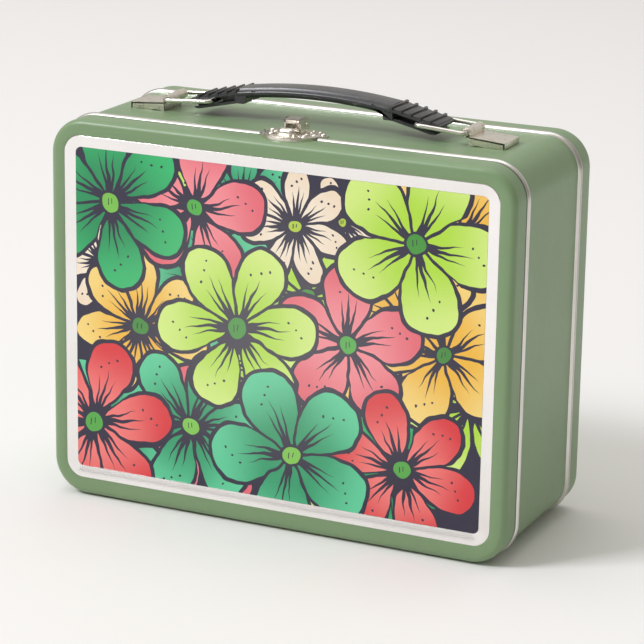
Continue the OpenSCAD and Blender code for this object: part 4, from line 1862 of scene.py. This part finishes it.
def flower_group() -> Group:
    """Draws one outlined flower over what is beneath it.

    Around the flower's middle the angle is folded into one petal's share. A petal is the ellipse
    whose half width grows outwards; its distance is the usual estimate from the scaled radius and
    the scaled gradient. Inked are the petal's rim, the gap between neighbours, three strokes that
    taper outwards and three dots; the heart is a disc with its own rim and two small marks.

    Returns:
        The group.
    """
    g = Group(
        "printed_flower",
        {
            "Place": (VECTOR, None), "Middle": (VECTOR, None), "Reach": (FLOAT, 30.0), "Turn": (FLOAT, 0.0),
            "Petals": (FLOAT, 6.0), "Seed": (FLOAT, 0.0), "Inner": (COLOUR, None), "Outer": (COLOUR, None),
            "Heart": (COLOUR, None), "Ink": (COLOUR, INK), "Beneath": (COLOUR, None),
        },
        {"Colour": COLOUR},
    )
    t = g.tree
    offset = t.nodes.new("ShaderNodeVectorMath")
    offset.operation = "SUBTRACT"
    t.links.new(g.start.outputs["Place"], offset.inputs[0])
    t.links.new(g.start.outputs["Middle"], offset.inputs[1])
    split = t.nodes.new("ShaderNodeSeparateXYZ")
    t.links.new(offset.outputs[0], split.inputs[0])
    x, z = Value(t, split.outputs["X"]), Value(t, split.outputs["Z"])
    reach = g.value("Reach")
    radius = (x * x + z * z).maths("SQRT")
    share = g.value("Petals").maths("POWER", -1.0) * (2 * math.pi)
    angle = z.maths("ARCTAN2", x) - g.value("Turn")
    number = (angle / share).maths("ROUND")
    count = number - (number / g.value("Petals")).maths("FLOOR") * g.value("Petals")
    luck = ((count * 12.99 + g.value("Seed") * 78.23).maths("SINE") * 437.5).maths("FRACT") - 0.5
    fold = angle - number * share + luck * 0.10
    lx, ly = radius * fold.maths("COSINE"), radius * fold.maths("SINE")

    long = reach * (luck * 0.10 + 0.46)
    middle = reach - long
    wide = reach * share * 0.285
    taper = ((lx - middle) / long).maths("MAXIMUM", -1.0).maths("MINIMUM", 1.0) * 0.34 + 0.92
    px, py = lx - middle, ly / taper
    k0 = ((px / long).maths("POWER", 2.0) + (py / wide).maths("POWER", 2.0)).maths("SQRT")
    k1 = ((px / (long * long)).maths("POWER", 2.0) + (py / (wide * wide)).maths("POWER", 2.0)).maths("SQRT")
    far = k0 * (k0 - 1.0) / k1.maths("MAXIMUM", 0.0001)
    half = share * 0.5 - (angle - number * share).maths("ABSOLUTE")
    gap = radius * half.maths("SINE")

    outside = far.maths("GREATER_THAN", 0.9) * (radius / reach).maths("GREATER_THAN", 0.30)
    rim = far.maths("GREATER_THAN", -0.95)
    between = gap.maths("LESS_THAN", 0.7)
    body = (lx / reach).maths("MAXIMUM", 0.0)

    def stroke(lean: float, end: float, thick: float) -> Value:
        """Ink of one stroke that leans away from the petal's axis and tapers to nothing at its end.

        Args:
            lean: sideways lean for each step outwards.
            end: where it ends, as a share of the reach.
            thick: its thickness at the heart.

        Returns:
            1 inside the stroke.
        """
        off = (ly - lx * lean).maths("ABSOLUTE")
        return off.maths("LESS_THAN", ((body * -1.0 + end) * thick).maths("MAXIMUM", 0.0))

    def dot(away: float, lean: float) -> Value:
        """Ink of a small dot on the petal.

        Args:
            away: how far out it is, as a share of the reach.
            lean: how far aside it is, as a share of that.

        Returns:
            1 inside the dot.
        """
        dx, dy = lx - reach * away, ly - reach * (away * lean)
        return (dx * dx + dy * dy).maths("LESS_THAN", 0.30)

    ink = rim.maths("MAXIMUM", between)
    for lean, end, thick in ((0.0, 0.66, 2.3), (0.18, 0.55, 2.1), (-0.19, 0.58, 2.1)):
        ink = ink.maths("MAXIMUM", stroke(lean, end, thick))
    for away, lean in ((0.72, 0.03), (0.64, 0.17), (0.79, -0.08)):
        ink = ink.maths("MAXIMUM", dot(away, lean))

    petal = mixed(t, body.step(0.25, 0.95), g.start.outputs["Inner"], g.start.outputs["Outer"])
    drawn = mixed(t, ink, petal, g.start.outputs["Ink"])
    layered = mixed(t, outside, drawn, g.start.outputs["Beneath"])

    core = reach * 0.135
    disc = radius - core
    heart = mixed(t, disc.maths("GREATER_THAN", -0.9), g.start.outputs["Heart"], g.start.outputs["Ink"])

    def tick(aside: Value, above: Value, thick: float, tall: Value) -> Value:
        """Ink of a short upright tick in the heart.

        Args:
            aside: distance to the right of its middle.
            above: distance above its middle.
            thick: half of its thickness.
            tall: half of its height.

        Returns:
            1 inside the tick.
        """
        inside = aside.maths("ABSOLUTE").maths("LESS_THAN", thick)
        return inside * above.maths("ABSOLUTE").maths("LESS_THAN", tall)

    left_tick = tick(x + core * 0.25, z, 0.22, core * 0.30)
    right_tick = tick(x - core * 0.1, z - core * 0.1, 0.2, core * 0.25)
    marked = mixed(t, left_tick.maths("MAXIMUM", right_tick), heart, g.start.outputs["Ink"])
    g.give("Colour", mixed(t, disc.maths("GREATER_THAN", 0.35), marked, layered))
    return g


@dataclass(frozen=True)
class FlowerPrint:
    """Semi-gloss print of bold outlined flowers on two staggered lattices, the larger ones on top.

    The flowers' places follow from the lattice and small seeded shifts, and their colours from
    the zones, which are read row by row.
    """

    back_zones: tuple[str, ...] = (
        "LIME TEAL CREAM YELLOW",
        "CREAM TEAL LIME YELLOW",
        "YELLOW LIME YELLOW CREAM LIME",
        "TEAL CORAL LIME GREEN",
    )
    front_zones: tuple[str, ...] = (
        "GREEN CORAL CREAM LIME",
        "YELLOW LIME CORAL YELLOW",
        "RED TEAL TEAL RED",
    )
    back_reach: tuple[float, float] = (30.0, 36.0)
    front_reach: tuple[float, float] = (33.0, 41.0)
    drift: float = 2.2
    hand: float = 4.5
    stray: tuple[float, float] = (5.0, 4.0)
    petal_count: tuple[float, float] = (6.5, 1.2)
    cream_share: float = 0.66
    cream_petals: int = 7
    seed: int = 12

    def lattice(
        self,
        zones: Sequence[str],
        width: float,
        height: float,
        reach: tuple[float, float],
        shift: float,
        rng: np.random.Generator,
    ) -> list[Flower]:
        """Sets out one lattice of flowers.

        Args:
            zones: colour names, row by row from the top.
            width: width of the panel in millimetres.
            height: height of the panel.
            reach: smallest and largest petal reach.
            shift: share of a step by which every other row is moved.
            rng: the seeded shifts.

        Returns:
            The flowers in the order they are drawn.
        """
        made: list[Flower] = []
        for row, names in enumerate(zones):
            blooms = names.split()
            step = width / len(blooms)
            z = height * (0.5 - (row + 0.5) / len(zones))
            for k, name in enumerate(blooms):
                x = (k + 0.5 + shift * (row % 2 - 0.5)) * step - width / 2
                dx, dz, size, spin, petals = rng.uniform(-1, 1, 5)
                bloom = Bloom[name]
                radius = reach[0] + (reach[1] - reach[0]) * (size + 1) / 2
                count = int(self.petal_count[0] + self.petal_count[1] * petals)
                if bloom is Bloom.CREAM:
                    radius *= self.cream_share
                    count = self.cream_petals
                place = (x + self.stray[0] * dx, z + self.stray[1] * dz)
                made.append(Flower(*place, radius, math.pi * spin, count, bloom, float(row * 7 + k)))
        return sorted(made, key=attrgetter("reach"))

    def flowers(self, width: float, height: float) -> list[Flower]:
        """All flowers, the back lattice first.

        Args:
            width: width of the panel in millimetres.
            height: height of the panel.

        Returns:
            The flowers in the order they are drawn.
        """
        rng = np.random.default_rng(self.seed)
        back = self.lattice(self.back_zones, width, height, self.back_reach, -0.5, rng)
        return back + self.lattice(self.front_zones, width, height, self.front_reach, 0.45, rng)

    def make(self, kit: Kit) -> bpy.types.Material:
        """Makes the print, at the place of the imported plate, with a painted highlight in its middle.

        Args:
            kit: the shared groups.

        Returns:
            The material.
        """
        lo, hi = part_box("front_art_plate")
        width, height = (hi.x - lo.x) / MM, (hi.z - lo.z) / MM
        middle = ((hi.x + lo.x) / 2, 0.0, (hi.z + lo.z) / 2)
        m = Material("flower_print", kit)
        scaled = m.tree.nodes.new("ShaderNodeVectorMath")
        scaled.operation = "MULTIPLY_ADD"
        m.tree.links.new(m.place, scaled.inputs[0])
        scaled.inputs[1].default_value = (1 / MM, 0.0, 1 / MM)
        scaled.inputs[2].default_value = (-middle[0] / MM, 0.0, -middle[2] / MM)
        wobble = noise(m.tree, scaled.outputs[0], 0.07, 2.0)
        hand = m.tree.nodes.new("ShaderNodeVectorMath")
        hand.operation = "MULTIPLY_ADD"
        m.tree.links.new(wobble.outputs["Color"], hand.inputs[0])
        hand.inputs[1].default_value = (self.hand, 0.0, self.hand)
        m.tree.links.new(scaled.outputs[0], hand.inputs[2])
        drawing = flower_group()
        colour: object = INK
        for flower in self.flowers(width, height):
            inner, outer, heart = (paint(code) for code in flower.bloom.value)
            middle_of = (flower.x + self.drift, 0.0, flower.z + self.drift)
            node = m.use(drawing, hand.outputs[0], Middle=middle_of, Reach=flower.reach)
            for name, value in (("Turn", flower.turn), ("Petals", flower.petals), ("Seed", flower.seed)):
                node.inputs[name].default_value = value
            for name, value in (("Inner", inner), ("Outer", outer), ("Heart", heart), ("Ink", INK)):
                node.inputs[name].default_value = value
            if isinstance(colour, bpy.types.NodeSocket):
                m.tree.links.new(colour, node.inputs["Beneath"])
            else:
                node.inputs["Beneath"].default_value = colour
            colour = node.outputs["Colour"]
        # Painted highlight: the print is mixed a little towards warm white in the middle of the panel, fading
        # out towards its corners.
        split = m.tree.nodes.new("ShaderNodeSeparateXYZ")
        m.tree.links.new(scaled.outputs[0], split.inputs[0])
        x, z = Value(m.tree, split.outputs["X"]), Value(m.tree, split.outputs["Z"])
        away = ((x / (width / 2)).maths("POWER", 2.0) + (z / (height / 2)).maths("POWER", 2.0)).maths("SQRT")
        centre_highlight = mixed(m.tree, away.step(1.1, 0.1) * 0.08, colour, (1.0, 0.96, 0.92, 1.0))
        coat = m.use(kit.mottle, Colour=centre_highlight, Depth=0.05, Gloss=0.34, Spread=0.06, Peel=1600.0)
        m.feed("Base Color", coat.outputs["Colour"])
        m.feed("Roughness", coat.outputs["Roughness"])
        m.bump(coat.outputs["Height"], 0.08, 0.00005)
        m.set(Coat_Weight=0.3, Coat_Roughness=0.2)
        return m.made


@dataclass
class Finishes:
    """Every material of the box, made once."""

    sizes: CaseSizes
    # Distance of the painted shadow line from the seam.
    shade_line_beside: float = 1.9 * MM

    def __post_init__(self) -> None:
        """Makes the shared groups and the materials."""
        kit = Kit()
        # Where the painted shadow line lies on the enamel.
        joint = self.sizes.seam + self.shade_line_beside
        self.enamel = SatinEnamel().make(kit, joint)
        self.rim = RolledSteel().make(kit)
        self.tin = BareTin().make(kit)
        self.nickel = NickelPlate().make(kit)
        self.hinge = NickelPlate(paint("b7b3ab"), paint("5d564c"), 0.38).make(kit, "dull_hinge_steel")
        self.wire = PlatedWire().make(kit)
        self.moulding = Moulding().make(kit)
        self.print = FlowerPrint().make(kit)


# ---- floor, light and camera ----------------------------------------------------------------


@dataclass
class Studio:
    """Pale floor, soft light and the camera."""

    floor_half: float = 12.0
    camera_at: tuple[float, float, float] = (0.5008, -1.0697, 0.4230)
    azimuth: float = 24.985
    elevation: float = 16.072
    roll: float = 0.961
    lens: float = 155.65
    lamps_face: tuple[float, float, float] = (0.0, 0.0, 0.09)
    horizon: Colour = (0.37, 0.345, 0.305, 1.0)
    zenith: Colour = (0.97, 0.92, 0.85, 1.0)
    right_side: Colour = (0.25, 0.24, 0.22, 1.0)
    rear_side: Colour = (1.35, 1.31, 1.24, 1.0)

    def floor(self) -> None:
        """Makes the floor: a level grid, warm white."""
        a = np.linspace(-self.floor_half, self.floor_half, 9)
        x, y = np.meshgrid(a, a, indexing="ij")
        shell = Shell()
        shell.grid(np.stack([x, y, np.zeros_like(x)], axis=-1))
        piece = shell.build("floor")
        if piece.data.polygons[0].normal.z < 0:
            piece.data.flip_normals()
        made = bpy.data.materials.new("pale_floor")
        made.use_nodes = True
        shader = made.node_tree.nodes["Principled BSDF"]
        shader.inputs["Base Color"].default_value = paint("f5f4f3")
        shader.inputs["Roughness"].default_value = 0.7
        shader.inputs["Specular IOR Level"].default_value = 0.25
        piece.data.materials.append(made)

    def lamp(
        self, name: str, at: Sequence[float], size: tuple[float, float], power: float, tint: str
    ) -> None:
        """Adds a rectangular soft light that faces the box's middle.

        Args:
            name: the light's name.
            at: its place.
            size: its width and height.
            power: its power in watts.
            tint: its colour in hex.
        """
        data = bpy.data.lights.new(name, "AREA")
        data.shape, data.size, data.size_y = "RECTANGLE", size[0], size[1]
        data.energy, data.color = power, paint(tint)[:3]
        lamp = bpy.data.objects.new(name, data)
        lamp.location = at
        lamp.rotation_mode = "QUATERNION"
        lamp.rotation_quaternion = (Vector(at) - Vector(self.lamps_face)).to_track_quat("Z", "Y")
        bpy.context.scene.collection.objects.link(lamp)

    def sky(self) -> None:
        """Makes the surroundings: mid grey at the horizon, lighter overhead and behind, dim on the right."""
        world = bpy.data.worlds.new("studio")
        world.use_nodes = True
        tree = world.node_tree
        place = tree.nodes.new("ShaderNodeTexCoord")
        split = tree.nodes.new("ShaderNodeSeparateXYZ")
        tree.links.new(place.outputs["Generated"], split.inputs[0])
        share = Value(tree, split.outputs["Z"]).step(-0.05, 0.7)
        colour = mixed(tree, share, self.horizon, self.zenith)
        shade = Value(tree, split.outputs["X"]).step(0.0, 1.0) * 0.6
        dimmed = mixed(tree, shade, colour, self.right_side)
        behind = Value(tree, split.outputs["Y"]).step(0.2, 0.95) * 0.7
        backdrop = mixed(tree, behind, dimmed, self.rear_side)
        tree.links.new(backdrop, tree.nodes["Background"].inputs["Color"])
        tree.nodes["Background"].inputs["Strength"].default_value = 0.55
        bpy.context.scene.world = world

    def camera(self) -> None:
        """Makes the camera and turns it by its azimuth, elevation and roll."""
        a, b, c = (math.radians(v) for v in (self.azimuth, self.elevation, self.roll))
        back = Vector((math.sin(a) * math.cos(b), -math.cos(a) * math.cos(b), math.sin(b)))
        right = Vector((math.cos(a), math.sin(a), 0.0))
        up = back.cross(right)
        across = right * math.cos(c) + up * math.sin(c)
        above = up * math.cos(c) - right * math.sin(c)
        data = bpy.data.cameras.new("camera")
        data.lens, data.sensor_width = self.lens, 36.0
        data.clip_start, data.clip_end = 0.05, 40.0
        camera = bpy.data.objects.new("camera", data)
        camera.matrix_world = Matrix(
            [[across[i], above[i], back[i], self.camera_at[i]] for i in range(3)] + [[0.0, 0.0, 0.0, 1.0]]
        )
        bpy.context.scene.collection.objects.link(camera)
        bpy.context.scene.camera = camera

    def make(self) -> None:
        """Builds the whole studio."""
        self.floor()
        self.sky()
        self.camera()
        self.lamp("key", (-2.2, -2.1, 2.9), (1.2, 1.1), 100.0, "f8f9ff")
        self.lamp("overhead", (-0.3, 0.3, 3.2), (2.6, 2.2), 26.0, "fdfdff")
        bpy.context.scene.view_settings.view_transform = "Standard"


def main() -> None:
    """Builds the studio and the box, class by class."""
    logging.basicConfig(level=logging.INFO, format="%(message)s")
    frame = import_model()
    sizes = CaseSizes()
    Studio().make()
    finishes = Finishes(sizes)
    Case(sizes).make(finishes)
    Lid(sizes).make(finishes)
    Handle(sizes).make(finishes)
    Latch(sizes).make(finishes)
    for name, node in frame["nodes"].items():
        if name.startswith("hinge_"):
            redress(node, finishes.hinge)
        elif name.endswith("_rivets"):
            redress(node, finishes.nickel)


if __name__ == "__main__":
    main()
